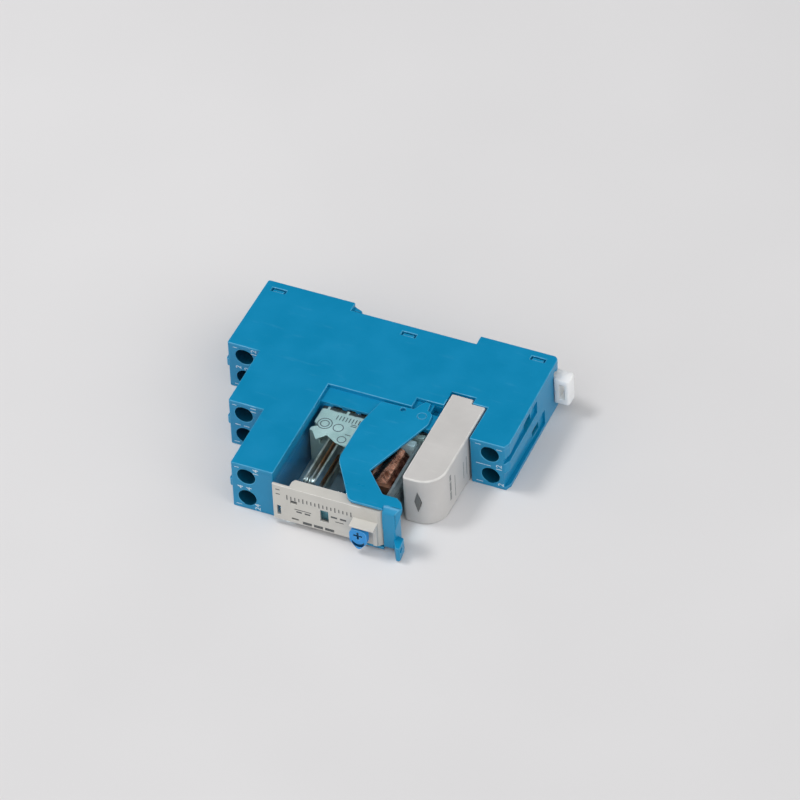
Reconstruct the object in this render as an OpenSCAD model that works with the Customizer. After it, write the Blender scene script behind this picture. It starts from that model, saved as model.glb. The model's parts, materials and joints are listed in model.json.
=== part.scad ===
// Interface relay for a 35 mm rail: a two-pole screw-terminal socket, the clear-cased relay that
// plugs into it, the swinging clip that holds and ejects the relay, a plug-in indicator module
// and the latch that holds the socket on the rail.
// It lies on one side face. X runs across the rail, +Y points at the rail, Z is the thickness.
// The origin is on the rail's centre line at the rail's seat, on the lower side face.

/* [Socket] */
// Thickness of the socket between its side faces
socket_t = 15.8; // [15.6:0.1:17]
// Thickness of each side cover
cover_t = 1.2; // [1:0.05:1.3]
// Thickness of the wall between the two poles
pole_wall = 2; // [1.6:0.1:2.2]
// Length of the fixed foot, from the left end to the rail slot
fixed_foot = 25.5; // [24:0.5:27]
// Width of the slot that takes the rail
rail_slot = 36.5; // [36:0.1:37.5]
// Depth of the rail slot
rail_depth = 3.15; // [2.9:0.05:3.6]
// Reach of the fixed hook over the rail's edge
hook_reach = 2.6; // [2:0.1:3]
// Thickness of the rail's sheet
rail_sheet = 1; // [0.9:0.05:1.2]
// Outward lean of the left end wall
end_lean = 0.5; // [0:0.1:0.8]
// Step of the right end wall outside the coil tier's front
end_step = 0.8; // [0.4:0.1:1.2]
// Inward lean of the right end wall towards the rail
right_lean = 0.6; // [0:0.1:0.8]
// Length of a snap window in the covers
window_len = 4.2; // [3.6:0.1:5]
// Width of a snap window in the covers
window_w = 1.4; // [1.2:0.1:1.8]

/* [Terminals] */
// Width of the rear tier
tier_1_w = 8.9; // [8.5:0.1:10]
// Width of the middle tier
tier_2_w = 10.2; // [9.5:0.1:11]
// Width of the front tier, with the wall of the relay bay
tier_3_w = 12.2; // [12:0.1:13.5]
// Width of the coil tier
coil_tier_w = 9.95; // [9.8:0.05:11]
// Front of the rear tier, from the rail's seat
tier_1_front = 23.15; // [22.5:0.05:25]
// Front of the middle tier, from the rail's seat
tier_2_front = 43.45; // [43:0.05:45]
// Front of the front tier, from the rail's seat
tier_3_front = 64.85; // [64:0.05:66]
// Front of the coil tier, from the rail's seat
coil_tier_front = 34.05; // [33.5:0.05:36]
// Diameter of a screwdriver hole
access_d = 5.2; // [5:0.1:5.4]
// Distance from a tier's outer wall to its screws
screw_inset = 4.3; // [4.1:0.1:4.5]
// Depth of a screw head below the tier's front
head_recess = 6; // [5:0.1:6.5]
// Diameter of a screw head
head_d = 4.7; // [4.2:0.1:4.8]
// Thickness of a screw head
head_t = 1.8; // [1.4:0.1:2]
// Diameter of a screw shank
shank_d = 3; // [2.5:0.1:3.2]
// Length of a screw shank under its head
shank_len = 6.5; // [6.3:0.1:7]
// Width of a clamp along the wire
clamp_w = 5.2; // [4.6:0.1:5.2]
// Rise of a clamp from open to closed
clamp_rise = 2; // [1.6:0.1:2.1]
// Space for the wire in an open clamp
wire_gap = 2.1; // [2.05:0.05:2.4]
// Side of a wire entry
wire_entry = 4.4; // [4.2:0.1:4.6]
// Set-back of the lower coil terminal behind the upper one
coil_stagger = 5; // [4:0.5:5.5]
// Thickness of a contact strip
strip_t = 0.8; // [0.6:0.05:0.9]
// Width of a contact strip
strip_w = 3.8; // [3:0.1:3.8]

/* [Relay] */
// Length of the relay
relay_len = 31.3; // [31:0.1:33]
// Width of the relay
relay_w = 12.4; // [12.2:0.1:12.8]
// Height of the relay, from its seat to its front
relay_h = 33; // [32.8:0.1:34]
// Wall of the clear case
case_wall = 0.7; // [0.5:0.05:0.8]
// Depth of the relay's seat, from the rail's seat
relay_seat = 33.85; // [33.5:0.05:35]
// Pitch of the contact pins
pin_pitch = 4; // [3.9:0.05:4.3]
// Thickness of a plug pin
pin_t = 0.5; // [0.4:0.05:0.6]
// Width of a plug pin
pin_w = 2; // [1.6:0.1:2.2]
// Diameter of the coil winding
winding_d = 8; // [7:0.1:8.6]
// Diameter of the coil core
core_d = 4; // [3.5:0.1:4.2]
// Gap between the core and the armature
armature_gap = 1; // [0.9:0.05:1.1]
// Gap between the open contacts
contact_gap = 0.45; // [0.45:0.05:0.7]

/* [Test button] */
// Distance of the button's axis from the relay's right end
button_inset = 5.55; // [5.4:0.05:5.8]
// Height of the button's axis above the lower side face
button_z = 6.5; // [6.3:0.1:6.8]
// Half width of the button
button_r = 2.45; // [2.2:0.05:2.5]
// Height of the button's flat top above its axis
button_top = 2; // [1.8:0.05:2.1]
// Length of the button's pointer from its axis
pointer_len = 5.2; // [4.5:0.1:5.2]
// Thickness of the button's head
button_t = 1.8; // [1.6:0.1:2.2]
// Travel of the button
button_travel = 1; // [0.8:0.1:1.1]

/* [Clip] */
// Thickness of a clip arm
arm_t = 0.75; // [0.6:0.05:0.9]
// Diameter of the clip's pivot pins
pivot_d = 2.4; // [2:0.1:2.6]
// Clearance of the clip around its pivot pins
pivot_clear = 0.05; // [0.03:0.01:0.08]

/* [Module] */
// Width of the module
module_w = 10.4; // [10.2:0.1:11]
// Depth of the module's seat, from the rail's seat
module_seat = 21.5; // [21.3:0.1:22]
// Height of the module, from its seat to its front
module_h = 32.4; // [31:0.1:32.6]
// Radius of the module's outer front corner
module_round = 6.5; // [5:0.1:7]
// Wall of the module's case
module_wall = 1; // [0.8:0.05:1.2]
// Width of the diamond lens
lens_w = 2; // [1.6:0.1:2.4]
// Length of the diamond lens
lens_len = 7.6; // [7:0.1:8]

/* [Latch] */
// Width of the rail latch
latch_w = 8.6; // [8:0.1:9]
// Thickness of the rail latch
latch_t = 3; // [2.8:0.1:3.1]
// Reach of the latch into the rail slot
latch_reach = 2.5; // [2.2:0.1:2.8]
// Reach of the latch's handle past the socket's end
handle_reach = 4.8; // [4:0.1:6]

/* [Hidden] */
$fn = 48;
eps = 0.01;
// Clearances: sliding pieces, loose pieces in their pockets, plugged pieces in their bays
slide_clear = 0.2;
loose_clear = 0.3;
plug_clear = 0.05;
bay_clear = 0.45;

// Chain of lengths across the rail
module_side_gap = 0.6;
x_left = -(fixed_foot + rail_slot / 2);
x_step_1 = x_left + tier_1_w;
x_step_2 = x_step_1 + tier_2_w;
x_bay = x_step_2 + tier_3_w;
relay_x0 = x_bay + bay_clear;
relay_x1 = relay_x0 + relay_len;
module_x0 = relay_x1 + bay_clear;
module_x1 = module_x0 + module_w;
x_coil = module_x1 + module_side_gap;
x_right = x_coil + coil_tier_w;
x_end_front = x_right + end_step;
x_end_rear = x_end_front - right_lean;
end_corner = 1.9;
slot_l = -rail_slot / 2;
slot_r = rail_slot / 2;
block_r = module_x0 - loose_clear;

// Layers of the thickness
mid_z = socket_t / 2;
body_bot = cover_t;
body_top = socket_t - cover_t;
pocket_floor = mid_z + pole_wall / 2;
term_z = (pocket_floor + body_top) / 2;
pocket_h = body_top - pocket_floor;

// Terminals, from the rear tier to the front tier, then the coil tier
TERMINALS = ["nc", "com", "no", "coil"];
SIDES = ["upper", "lower"];
outer_x = [x_left, x_step_1, x_step_2, x_right];
inward = [1, 1, 1, -1];
front_y = [-tier_1_front, -tier_2_front, -tier_3_front, -coil_tier_front];
tip_clear = 0.1;
shoulder_t = 1;
clamp_front_t = 2;
clamp_rear_t = 1;
clamp_side_t = 0.6;
head_y = head_recess;
shoulder_y = head_y + head_t + tip_clear;
chamber_y = shoulder_y + shoulder_t;
strip_y = head_y + head_t + shank_len + tip_clear;
clamp_y0 = chamber_y + clamp_rise + 2 * slide_clear;
clamp_y1 = strip_y + strip_t + wire_gap + clamp_rear_t;
chamber_end = clamp_y1 + slide_clear;
entry_y = strip_y + strip_t + wire_gap / 2;
channel_d = 0.4;
channel_runout = 2.8;
rib_proud = 0.9;
rib_w = 2.6;

// Plug contacts: the pins of the relay and of the module, and the forks that grip them
pin_z = 3.4;
pin_len = 5.2;
fork_t = 0.6;
fork_len = 7.4;
fork_depth = 9.25;
fork_y = -(relay_seat - fork_depth);
pocket_w = 2.6;
tunnel_h = strip_w + 2 * slide_clear;
no_pin_x = relay_x0 + 4.5;
com_pin_x = no_pin_x + pin_pitch;
nc_pin_x = com_pin_x + pin_pitch;
coil_pin_x = relay_x1 - 4.8;
module_pin_x = module_x1 - 1.9;
module_fork_y = -(module_seat - 7.9);
coil_run_y = module_fork_y + 1.2;
com_run_y = fork_y + 2.8;
com_riser_x = x_bay - 6.15;
no_riser_x = x_bay - 2.75;
coil_riser_x = x_coil + 1.5;

// Clip: its pivot and its swing
pivot_x = relay_x1 - 3.75;
pivot_y = -(relay_seat - 3.4);
ledge_y = -(relay_seat - 5.6);
notch_y = -(relay_seat - 9.1);
notch_x = pivot_x - 3.85;
arm_gap = 0.5;
arm_z = max(body_top, mid_z + relay_w / 2 + arm_gap) + plug_clear;

// Relay: rear and front, case, cap and magnet system
relay_y0 = -relay_seat - plug_clear;
relay_y1 = relay_y0 - relay_h;
cap_t = 0.8;
cap_skirt = 3.55;
cap_left_skirt = 0.85;
cap_left_w = 4.75;
neck_y = relay_y1 + cap_t;
skirt_y = relay_y1 + cap_skirt;
base_t = 2.6;
block_len = 12.1;
block_h = 9.9;
yoke_t = 1;
coil_x = relay_x1 - 7;
winding_clear = 0.05;
flange_x = 9.6;
flange_side = 0.4;
flange_z = relay_w - 2 * (case_wall + flange_side);
rear_flange_t = 2.2;
front_flange_t = 1.15;
yoke_y = relay_y0 - base_t - plug_clear;
bobbin_y0 = yoke_y - yoke_t - plug_clear;
magnet_room = 10.5;
front_flange_y = relay_y1 + magnet_room;
pole_y = front_flange_y - plug_clear;
pole_t = 0.7;
pole_d = 6.4;
armature_y = pole_y - pole_t - armature_gap;
armature_t = 1;
armature_z = 8;
yoke_x = coil_x + flange_x / 2 + 0.1;
leg_y = armature_y - armature_t - 4.2;
card_y = armature_y - 4.05;
card_t = 0.9;
card_side = 0.5;
card_w = relay_w - 2 * (case_wall + card_side);
blade_t = 0.3;
blade_w = 3;
fixed_t = 0.5;
rivet_h = 0.4;
rivet_d = 2.2;
rivet_y = card_y + 2.3;
blade_root_y = relay_y0 - 7.5;

// Test button, along its own axis
button_x = relay_x1 - button_inset;
button_corner = 1.6;
button_sweep = norm([button_r - button_corner, button_top - button_corner]) + button_corner;
stem_d = 3.2;
spigot_d = 2;
button_gap = button_travel + 0.25;
button_y0 = relay_y1 - button_gap;
button_y1 = button_y0 - button_t;

// Module
module_t = socket_t - 0.2;
module_y0 = -module_seat - plug_clear;
module_y1 = module_y0 - module_h;
tongue_len = 1.7;
tongue_w = 6.3;
lens_x = module_x0 + 4.35;

// Latch
latch_y = -0.6;
latch_rail = 0.8;
latch_rail_t = 1.2;

BLUE = [0.09, 0.50, 0.71];
LIGHT_BLUE = [0.15, 0.56, 0.78];
WHITE = [0.80, 0.79, 0.77];
PALE = [0.86, 0.90, 0.88];
CLEAR = [0.62, 0.82, 0.84, 0.35];
STEEL = [0.66, 0.67, 0.68];
BRASS = [0.78, 0.66, 0.40];
COPPER = [0.66, 0.36, 0.20];
TEAL = [0.25, 0.52, 0.55];
GREY = [0.42, 0.42, 0.43];
GREEN = [0.16, 0.42, 0.27];

function side_names(stem) = [for (t = TERMINALS) for (s = SIDES) str(t, "_", stem, "_", s)];
function pole_names(stem) = [for (s = SIDES) str(stem, "_", s)];

// Outlines are lists of corners [x, y, radius]; a radius of 0 is a sharp corner
function unit(v) = v / norm(v);
function flat(p) = [p[0], p[1]];
function corner_arc(a, p, b, steps) =
    let (
        u = unit(flat(a) - flat(p)),
        v = unit(flat(b) - flat(p)),
        half = acos(u * v) / 2,
        centre = flat(p) + unit(u + v) * p[2] / sin(half),
        from = flat(p) + u * p[2] / tan(half) - centre,
        to = flat(p) + v * p[2] / tan(half) - centre,
        start = atan2(from[1], from[0]),
        sweep = (atan2(to[1], to[0]) - start + 540) % 360 - 180
    )
    [for (i = [0:steps]) centre + p[2] * [cos(start + sweep * i / steps), sin(start + sweep * i / steps)]];
function rounded(corners, steps = 8) =
    let (n = len(corners))
    [
        for (i = [0:n - 1])
            each corners[i][2] > 0
                ? corner_arc(corners[(i + n - 1) % n], corners[i], corners[(i + 1) % n], steps)
                : [flat(corners[i])]
    ];

module outline(corners) polygon(rounded(corners));

// A box between two opposite corners
module block(low, high) translate(low) cube(high - low);

// Turns children drawn along +Z so that they run along +Y, from the point given
module along_y(from) translate(from) rotate([-90, 0, 0]) children();

// Draws children on the upper half, or mirrored on the lower half
module on_side(s) {
    if (s == 0) children();
    else translate([0, 0, socket_t]) mirror([0, 0, 1]) children();
}

module both_sides() for (s = [0, 1]) on_side(s) children();

// A strip standing on edge along a route of square turns
module route(points, width)
    for (i = [0:len(points) - 2]) {
        low = [min(points[i][0], points[i + 1][0]), min(points[i][1], points[i + 1][1])];
        high = [max(points[i][0], points[i + 1][0]), max(points[i][1], points[i + 1][1])];
        translate(low - [width, width] / 2) square(high - low + [width, width]);
    }

// Places of a terminal: the lower coil terminal sits further back than the upper one
function screw_x(t) = outer_x[t] + inward[t] * screw_inset;
function set_back(t, s) = t == 3 && s == 1 ? coil_stagger : 0;
function seat_y(t, s) = front_y[t] + set_back(t, s);
function strip_start(t, s) =
    [screw_x(t) - inward[t] * (clamp_w / 2 - 0.4), seat_y(t, s) + strip_y + strip_t / 2];
function strip_points(t, s) =
    let (start = strip_start(t, s), y = start[1])
    t == 0 ? [start, [nc_pin_x, y], [nc_pin_x, fork_y]] :
    t == 1 ? [start, [com_riser_x, y], [com_riser_x, com_run_y], [com_pin_x, com_run_y], [com_pin_x, fork_y]] :
    t == 2 ? [start, [no_riser_x, y], [no_riser_x, fork_y], [no_pin_x, fork_y]] :
    [start, [coil_riser_x, y], [coil_riser_x, coil_run_y], [coil_pin_x, coil_run_y], [coil_pin_x, fork_y]];

// Forks that grip a pin: where each strip has one, and how long its prongs are
function forks(t) =
    let (x = [nc_pin_x, com_pin_x, no_pin_x, coil_pin_x][t])
    t < 3 ? [[x, fork_y]] : [[x, fork_y], [module_pin_x, module_fork_y]];

// Outline of the rail side, from the left end to the right end
function rail_side() = [
    [x_left, rail_depth, 0.6],
    [slot_l, rail_depth, 0.3],
    [slot_l, 0, 0],
    [slot_r, 0, 0],
    [slot_r, rail_depth, 0.3],
    [x_end_rear, rail_depth, 1.6]
];

// Outline of the terminal tiers, from the relay bay to the left end
function tier_side() = [
    [x_bay, -tier_3_front, 0.4],
    [x_step_2, -tier_3_front, 0.4],
    [x_step_2, -tier_2_front, 0],
    [x_step_1, -tier_2_front, 0.4],
    [x_step_1, -tier_1_front, 0],
    [x_left - end_lean, -tier_1_front, 0.4]
];

// Outline of the coil tier, from the right end to the module's seat
function coil_side() = [
    [x_end_front, -coil_tier_front + end_corner, 0.8],
    [x_right, -coil_tier_front, 0.3],
    [x_coil, -coil_tier_front, 0.4],
    [x_coil, -module_seat, 0]
];

module body_outline()
    outline(concat(rail_side(), coil_side(), [
        [block_r, -module_seat, 0],
        [block_r, -relay_seat, 0.4],
        [x_bay, -relay_seat, 0]
    ], tier_side()));

module cover_outline()
    difference() {
        outline(concat(rail_side(), coil_side(), [
            [block_r, -module_seat, 0],
            [block_r, notch_y, 0],
            [notch_x, notch_y, 0],
            [notch_x, ledge_y, 0],
            [x_bay, ledge_y, 0]
        ], tier_side()));
        translate([block_r - eps, -module_seat - eps])
            square([tongue_w + 2 * loose_clear + eps, tongue_len + 2 * loose_clear]);
    }

// Centres of the snap windows that hold a cover on the body
function window_centres() =
    [[x_left + 4.3, rail_depth - 2.95], [0, -3.1], [x_right - 4.7, rail_depth - 2.75]];

module snap_hooks()
    for (c = window_centres())
        translate([c[0] - window_len / 2 + 0.5, c[1] - window_w / 2 + 0.05, body_top - eps])
            cube([window_len - 1, window_w - 0.5, cover_t - 0.15]);

module fixed_hook() {
    wall = slot_l + 0.5;
    tip = slot_l + hook_reach;
    under = rail_sheet + 0.25;
    translate([0, 0, body_bot])
        linear_extrude(body_top - body_bot)
            polygon([
                [slot_l - eps, rail_depth - 0.35],
                [tip - 0.5, under + 0.75],
                [tip, under + 0.35],
                [tip, under],
                [wall, under],
                [wall, -eps],
                [slot_l - eps, -eps]
            ]);
}

// Rib along a left end wall between the two wire entries, set in behind the tier's front
module end_rib(t) {
    set_in = 0.5;
    taper = 10;
    x = outer_x[t] - (t == 0 ? end_lean : 0);
    y = front_y[t] + set_in;
    translate([0, 0, mid_z - rib_w / 2])
        linear_extrude(rib_w)
            polygon([
                [x + 0.9, y + taper + 4],
                [x, y + taper],
                [x - rib_proud, y + taper / 2],
                [x - rib_proud, y + 0.4],
                [x - rib_proud + 0.4, y],
                [x + 0.9, y]
            ]);
}

// Channel in the right end wall that leads a wire to a coil entry: the upper one narrows towards
// the front, the lower one runs down to the cover
module coil_channel(s) {
    y = front_y[3];
    low = term_z - wire_entry / 2;
    top = s == 0 ? low + wire_entry : body_top + eps;
    mouth = s == 0 ? low + 1.6 : top;
    entry = seat_y(3, s) + entry_y;
    wide = entry - wire_entry / 2;
    rear = entry + wire_entry / 2 + channel_runout;
    translate([x_right - channel_d, 0, 0])
        rotate([90, 0, 90])
            linear_extrude(channel_d + end_step + 1)
                polygon([[y - 1, low], [y - 1, mouth], [wide, top], [rear, top], [rear, low]]);
}

// What one terminal takes out of its half of the body
module terminal_cut(t, s) {
    x = screw_x(t);
    y = seat_y(t, s);
    half = clamp_w / 2 + loose_clear;
    wall = outer_x[t] - inward[t] * (max(end_lean, end_step) + 1);
    x_in = x - inward[t] * half;
    along_y([x, front_y[t] - eps, term_z]) cylinder(d = access_d, h = set_back(t, s) + shoulder_y + eps);
    along_y([x, y + shoulder_y - eps, term_z]) cylinder(d = shank_d + slide_clear, h = shoulder_t + 2 * eps);
    block([x - half, y + chamber_y, pocket_floor], [x + half, y + chamber_end, body_top + eps]);
    block(
        [min(wall, x_in), y + entry_y - wire_entry / 2, term_z - wire_entry / 2],
        [max(wall, x_in) + eps, y + entry_y + wire_entry / 2, term_z + wire_entry / 2]
    );
    if (t == 3) coil_channel(s);
}

module strip_cut(t, s) {
    translate([0, 0, pocket_floor])
        linear_extrude(pocket_h + eps)
            route(strip_points(t, s), strip_t + 2 * loose_clear);
    for (f = forks(t))
        block(
            [f[0] - pocket_w / 2, f[1] - fork_len - 2, term_z - tunnel_h / 2],
            [f[0] + pocket_w / 2, f[1] + fork_t + loose_clear, term_z + tunnel_h / 2]
        );
    if (t == 3)
        translate([0, 0, pocket_floor])
            linear_extrude(pocket_h + eps)
                route([[module_pin_x, coil_run_y], [module_pin_x, module_fork_y]], strip_t + 2 * loose_clear);
}

module latch_cut() {
    half = latch_w / 2 + slide_clear;
    block([slot_r - eps, latch_y - slide_clear, mid_z - half], [x_end_front + 1, rail_depth + 1, mid_z + half]);
    block(
        [slot_r - eps, latch_y - slide_clear, mid_z - half - latch_rail],
        [x_end_front + 1, latch_y + latch_rail_t + slide_clear, mid_z + half + latch_rail]
    );
}

// Pocket beside the clip's tail, open towards the module
module tail_pocket()
    block([pivot_x + 1.2, ledge_y, body_top - 2.5], [block_r + 1, notch_y, body_top + 1]);

module pivot_pins()
    both_sides()
        translate([pivot_x, pivot_y, body_top - eps])
            cylinder(d = pivot_d, h = arm_z - body_top + arm_t + plug_clear);

module socket_body()
    color(BLUE)
        difference() {
            union() {
                translate([0, 0, body_bot]) linear_extrude(body_top - body_bot) body_outline();
                fixed_hook();
                pivot_pins();
                both_sides() snap_hooks();
                for (t = [0:2]) end_rib(t);
            }
            for (t = [0:3])
                for (s = [0, 1])
                    on_side(s) {
                        terminal_cut(t, s);
                        strip_cut(t, s);
                    }
            both_sides() tail_pocket();
            latch_cut();
        }

module cover_plate()
    difference() {
        translate([0, 0, body_top]) linear_extrude(cover_t) cover_outline();
        for (c = window_centres())
            translate([c[0] - window_len / 2, c[1] - window_w / 2, body_top - 1])
                cube([window_len, window_w, cover_t + 2]);
    }

module upper_cover() color(BLUE) cover_plate();

module lower_cover() color(BLUE) on_side(1) cover_plate();

// Latch: a plate in T-shaped guides, with a ramped tip and a handle with a slot for a screwdriver
module rail_latch() {
    tip = slot_r - latch_reach;
    rear = latch_y + latch_t;
    under = rail_sheet + 0.2;
    end = x_right + handle_reach;
    inner = x_end_rear + loose_clear;
    handle_y = -1.8;
    color(PALE)
        difference() {
            union() {
                translate([0, 0, mid_z - latch_w / 2])
                    linear_extrude(latch_w)
                        outline([
                            [tip, under, 0],
                            [tip, under + 0.45, 0],
                            [slot_r - 0.3, rear, 0],
                            [end, rear, 0.8],
                            [end, handle_y, 0.8],
                            [inner, handle_y, 0.4],
                            [inner, latch_y, 0.3],
                            [slot_r + 0.2, latch_y, 0],
                            [slot_r + 0.2, under, 0]
                        ]);
                block(
                    [slot_r + 0.2, latch_y, mid_z - latch_w / 2 - latch_rail],
                    [x_right - 4, latch_y + latch_rail_t, mid_z + latch_w / 2 + latch_rail]
                );
            }
            block([x_right + 1.9, handle_y - 1, mid_z - 2.6], [x_right + 3.5, rear + 1, mid_z + 2.6]);
        }
}

// Screws turn in the body's shoulder and draw their clamps up to the strips
module terminal_screw(t, s) {
    slot_w = 0.8;
    slot_d = 1;
    y = seat_y(t, s) + head_y;
    color(STEEL)
        translate([screw_x(t), y, term_z])
            difference() {
                union() {
                    along_y([0, 0, 0]) cylinder(d = head_d, h = head_t);
                    along_y([0, head_t - eps, 0]) cylinder(d = shank_d, h = shank_len + eps);
                }
                block([-head_d, -1, -slot_w / 2], [head_d, slot_d, slot_w / 2]);
                block([-slot_w / 2, -1, -head_d / 2 + 0.8], [slot_w / 2, slot_d, head_d / 2 - 0.8]);
            }
}

module terminal_clamp(t, s) {
    x = screw_x(t);
    y = seat_y(t, s);
    half = pocket_h / 2 - slide_clear;
    inner = half - clamp_side_t;
    color(STEEL)
        difference() {
            block(
                [x - clamp_w / 2, y + clamp_y0, term_z - half],
                [x + clamp_w / 2, y + clamp_y1, term_z + half]
            );
            block(
                [x - clamp_w, y + clamp_y0 + clamp_front_t, term_z - inner],
                [x + clamp_w, y + clamp_y1 - clamp_rear_t, term_z + inner]
            );
            along_y([x, y + clamp_y0 - 1, term_z])
                cylinder(d = shank_d + 2 * plug_clear, h = clamp_front_t + 2);
        }
}

module fork(at) {
    gap = pin_t + 2 * plug_clear;
    for (side = [-1, 1])
        translate([at[0] + side * (gap + fork_t) / 2 - fork_t / 2, at[1] - fork_len])
            square([fork_t, fork_len]);
    translate([at[0] - gap / 2 - fork_t, at[1] - strip_t / 2]) square([gap + 2 * fork_t, strip_t]);
}

module contact_strip(t, s)
    color(BRASS)
        translate([0, 0, term_z - strip_w / 2])
            linear_extrude(strip_w) {
                route(strip_points(t, s), strip_t);
                for (f = forks(t)) fork(f);
                if (t == 3) route([[module_pin_x, coil_run_y], [module_pin_x, module_fork_y]], strip_t);
            }

// Clip: two arms on the pivot pins, joined by a bar with a finger tab in front of the module
clip_front = relay_y1 + 0.45 - pivot_y;
bar_x = module_x0 - loose_clear - pivot_x;
bar_depth = 5.2;
bar_tip = 9.1;
bar_right = bar_tip - 1.6;
bar_round = 2;
arm_back = 14.3;
tail_len = 5.4;

// Pointed right end of an arm, from its front to its back
function bar_end() = [
    [bar_right, clip_front, 0.4],
    [bar_tip, clip_front + 2, 0.6],
    [bar_tip - 1.3, clip_front + 4, 0.6],
    [bar_tip - 2.9, clip_front + bar_depth, 0.8]
];

function arm_corners() = concat(
    [
        [2 - arm_back, 1.5, 0.8],
        [-arm_back, -8, 8],
        [-arm_back, clip_front + 13.5, 7],
        [-5.6, clip_front, 2.5]
    ],
    bar_end(),
    [
        [2, clip_front + bar_depth, 1],
        [-4.7, clip_front + bar_depth + 7.2, 0.3],
        [2.8, -2.4, 2.2],
        [2.4, 2, 2],
        [0.7, 2.4, 0.5],
        [0.3, tail_len, 0.3],
        [-1.3, tail_len, 0.3],
        [-3.1, 1.8, 0.5]
    ]
);

module clip_arm()
    translate([pivot_x, pivot_y, arm_z])
        difference() {
            linear_extrude(arm_t) outline(arm_corners());
            translate([0, 0, -1]) cylinder(d = pivot_d + 2 * pivot_clear, h = arm_t + 2);
            translate([-5.7, 0.6, -1]) cylinder(d = 1.4, h = arm_t + 2);
        }

module clip_bar() {
    low = socket_t - arm_z - eps;
    translate([pivot_x, pivot_y, low])
        linear_extrude(socket_t - 2 * low)
            outline([
                [bar_x, clip_front, 0.3],
                [bar_right, clip_front, 0.4],
                [bar_right, clip_front + 3.9, 0.6],
                [bar_tip - 2.9, clip_front + bar_depth, 0.8],
                [bar_x, clip_front + bar_depth, 0.3]
            ]);
}

// Web under the pointed end of the upper arm, which slopes down to the bar's front
module clip_web() {
    web_depth = 2.1;
    intersection() {
        translate([pivot_x, pivot_y, mid_z])
            linear_extrude(arm_z + eps - mid_z)
                outline(concat(
                    [[bar_x, clip_front, 0]],
                    bar_end(),
                    [[bar_x, clip_front + bar_depth, 0]]
                ));
        translate([pivot_x + bar_x, pivot_y + clip_front, 0])
            rotate([90, 0, 90])
                linear_extrude(bar_tip)
                    polygon([[-0.2, mid_z - 0.6], [web_depth, arm_z + eps], [-0.2, arm_z + eps]]);
    }
}

// What rounds the bar's upper front edge
module bar_edge_cut() {
    y = pivot_y + clip_front;
    top = arm_z + arm_t;
    difference() {
        block([pivot_x + bar_x, y - 1, top - bar_round], [pivot_x + bar_tip + 1, y + bar_round, top + 1]);
        translate([pivot_x, y + bar_round, top - bar_round])
            rotate([0, 90, 0])
                cylinder(r = bar_round, h = bar_tip + 2);
    }
}

// Finger tab: a horn at the foot of the bar's right end, with a dimple in its outer face
module finger_tab() {
    tab_h = 4.6;
    dimple_d = 1.6;
    dimple_depth = 0.45;
    translate([pivot_x, pivot_y + clip_front, socket_t - arm_z - arm_t])
        difference() {
            linear_extrude(tab_h)
                outline([
                    [bar_tip - 2.8, 2.3, 0],
                    [bar_tip - 2.4, 0.5, 0],
                    [bar_tip - 0.45, -2.75, 0.3],
                    [bar_tip + 0.6, -2.65, 0.4],
                    [bar_tip + 0.2, 1.5, 0.5]
                ]);
            translate([bar_tip + 0.45 - dimple_depth, -1.1, 2.7])
                rotate([0, 90, 0])
                    cylinder(d = dimple_d, h = 2);
        }
}

module retaining_clip()
    color(LIGHT_BLUE) {
        difference() {
            union() {
                both_sides() clip_arm();
                clip_bar();
                clip_web();
            }
            both_sides() bar_edge_cut();
        }
        finger_tab();
    }

// Relay base: the plate with the plug pins, and the block that carries the contacts
module pin_slots(y0, y1)
    both_sides()
        for (x = [no_pin_x, com_pin_x, nc_pin_x, coil_pin_x])
            block(
                [x - pin_t / 2 - plug_clear, y0, mid_z + pin_z - pin_w / 2 - plug_clear],
                [x + pin_t / 2 + plug_clear, y1, mid_z + pin_z + pin_w / 2 + plug_clear]
            );

module relay_base() {
    half = relay_w / 2 - case_wall - plug_clear;
    x0 = relay_x0 + case_wall + plug_clear;
    x1 = relay_x1 - case_wall - plug_clear;
    top = relay_y0 - block_h;
    roof_t = half - pin_z - blade_w / 2 - slide_clear;
    color(PALE) {
        // Stepped edge of the roof over the contacts
        both_sides()
            translate([x0, top, mid_z + half - roof_t])
                linear_extrude(roof_t)
                    polygon([
                        [0, 1],
                        [3, -2.8],
                        [5.1, -0.3],
                        [8.4, -2.2],
                        [block_len, -2.8],
                        [block_len, 1]
                    ]);
        difference() {
            union() {
                block([x0, relay_y0 - base_t, mid_z - half], [x1, relay_y0, mid_z + half]);
                block([x0, top, mid_z - half], [x0 + block_len, relay_y0 - base_t + eps, mid_z + half]);
            }
            both_sides()
                block(
                    [no_pin_x - 1, top - 1, mid_z + 1.2],
                    [nc_pin_x + 1, relay_y0 - base_t - 0.4, mid_z + pin_z + blade_w / 2 + slide_clear]
                );
            // Notch in the left edge
            both_sides()
                translate([x0, top, mid_z + half - 2])
                    linear_extrude(3)
                        polygon([[-1, 1.1], [0, 1.1], [1.6, 2.4], [0, 3.4], [-1, 3.4]]);
            pin_slots(relay_y0 - base_t - 1, relay_y0 + 1);
        }
    }
}

module relay_case() {
    half = relay_w / 2;
    neck = case_wall + plug_clear;
    step_x = relay_x0 + cap_left_w;
    color(CLEAR)
        difference() {
            block([relay_x0, neck_y + plug_clear, mid_z - half], [relay_x1, relay_y0, mid_z + half]);
            block(
                [relay_x0 + case_wall, neck_y + plug_clear + case_wall, mid_z - half + case_wall],
                [relay_x1 - case_wall, relay_y0 + 1, mid_z + half - case_wall]
            );
            // The neck that the cap's skirt goes over
            both_sides()
                block([step_x, neck_y - 1, mid_z + half - neck], [relay_x1 + 1, skirt_y, mid_z + half + 1]);
            block([relay_x1 - neck, neck_y - 1, mid_z - half - 1], [relay_x1 + 1, skirt_y, mid_z + half + 1]);
            along_y([button_x, neck_y - 1, button_z]) cylinder(d = stem_d + 2 * slide_clear, h = 4);
        }
}

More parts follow.
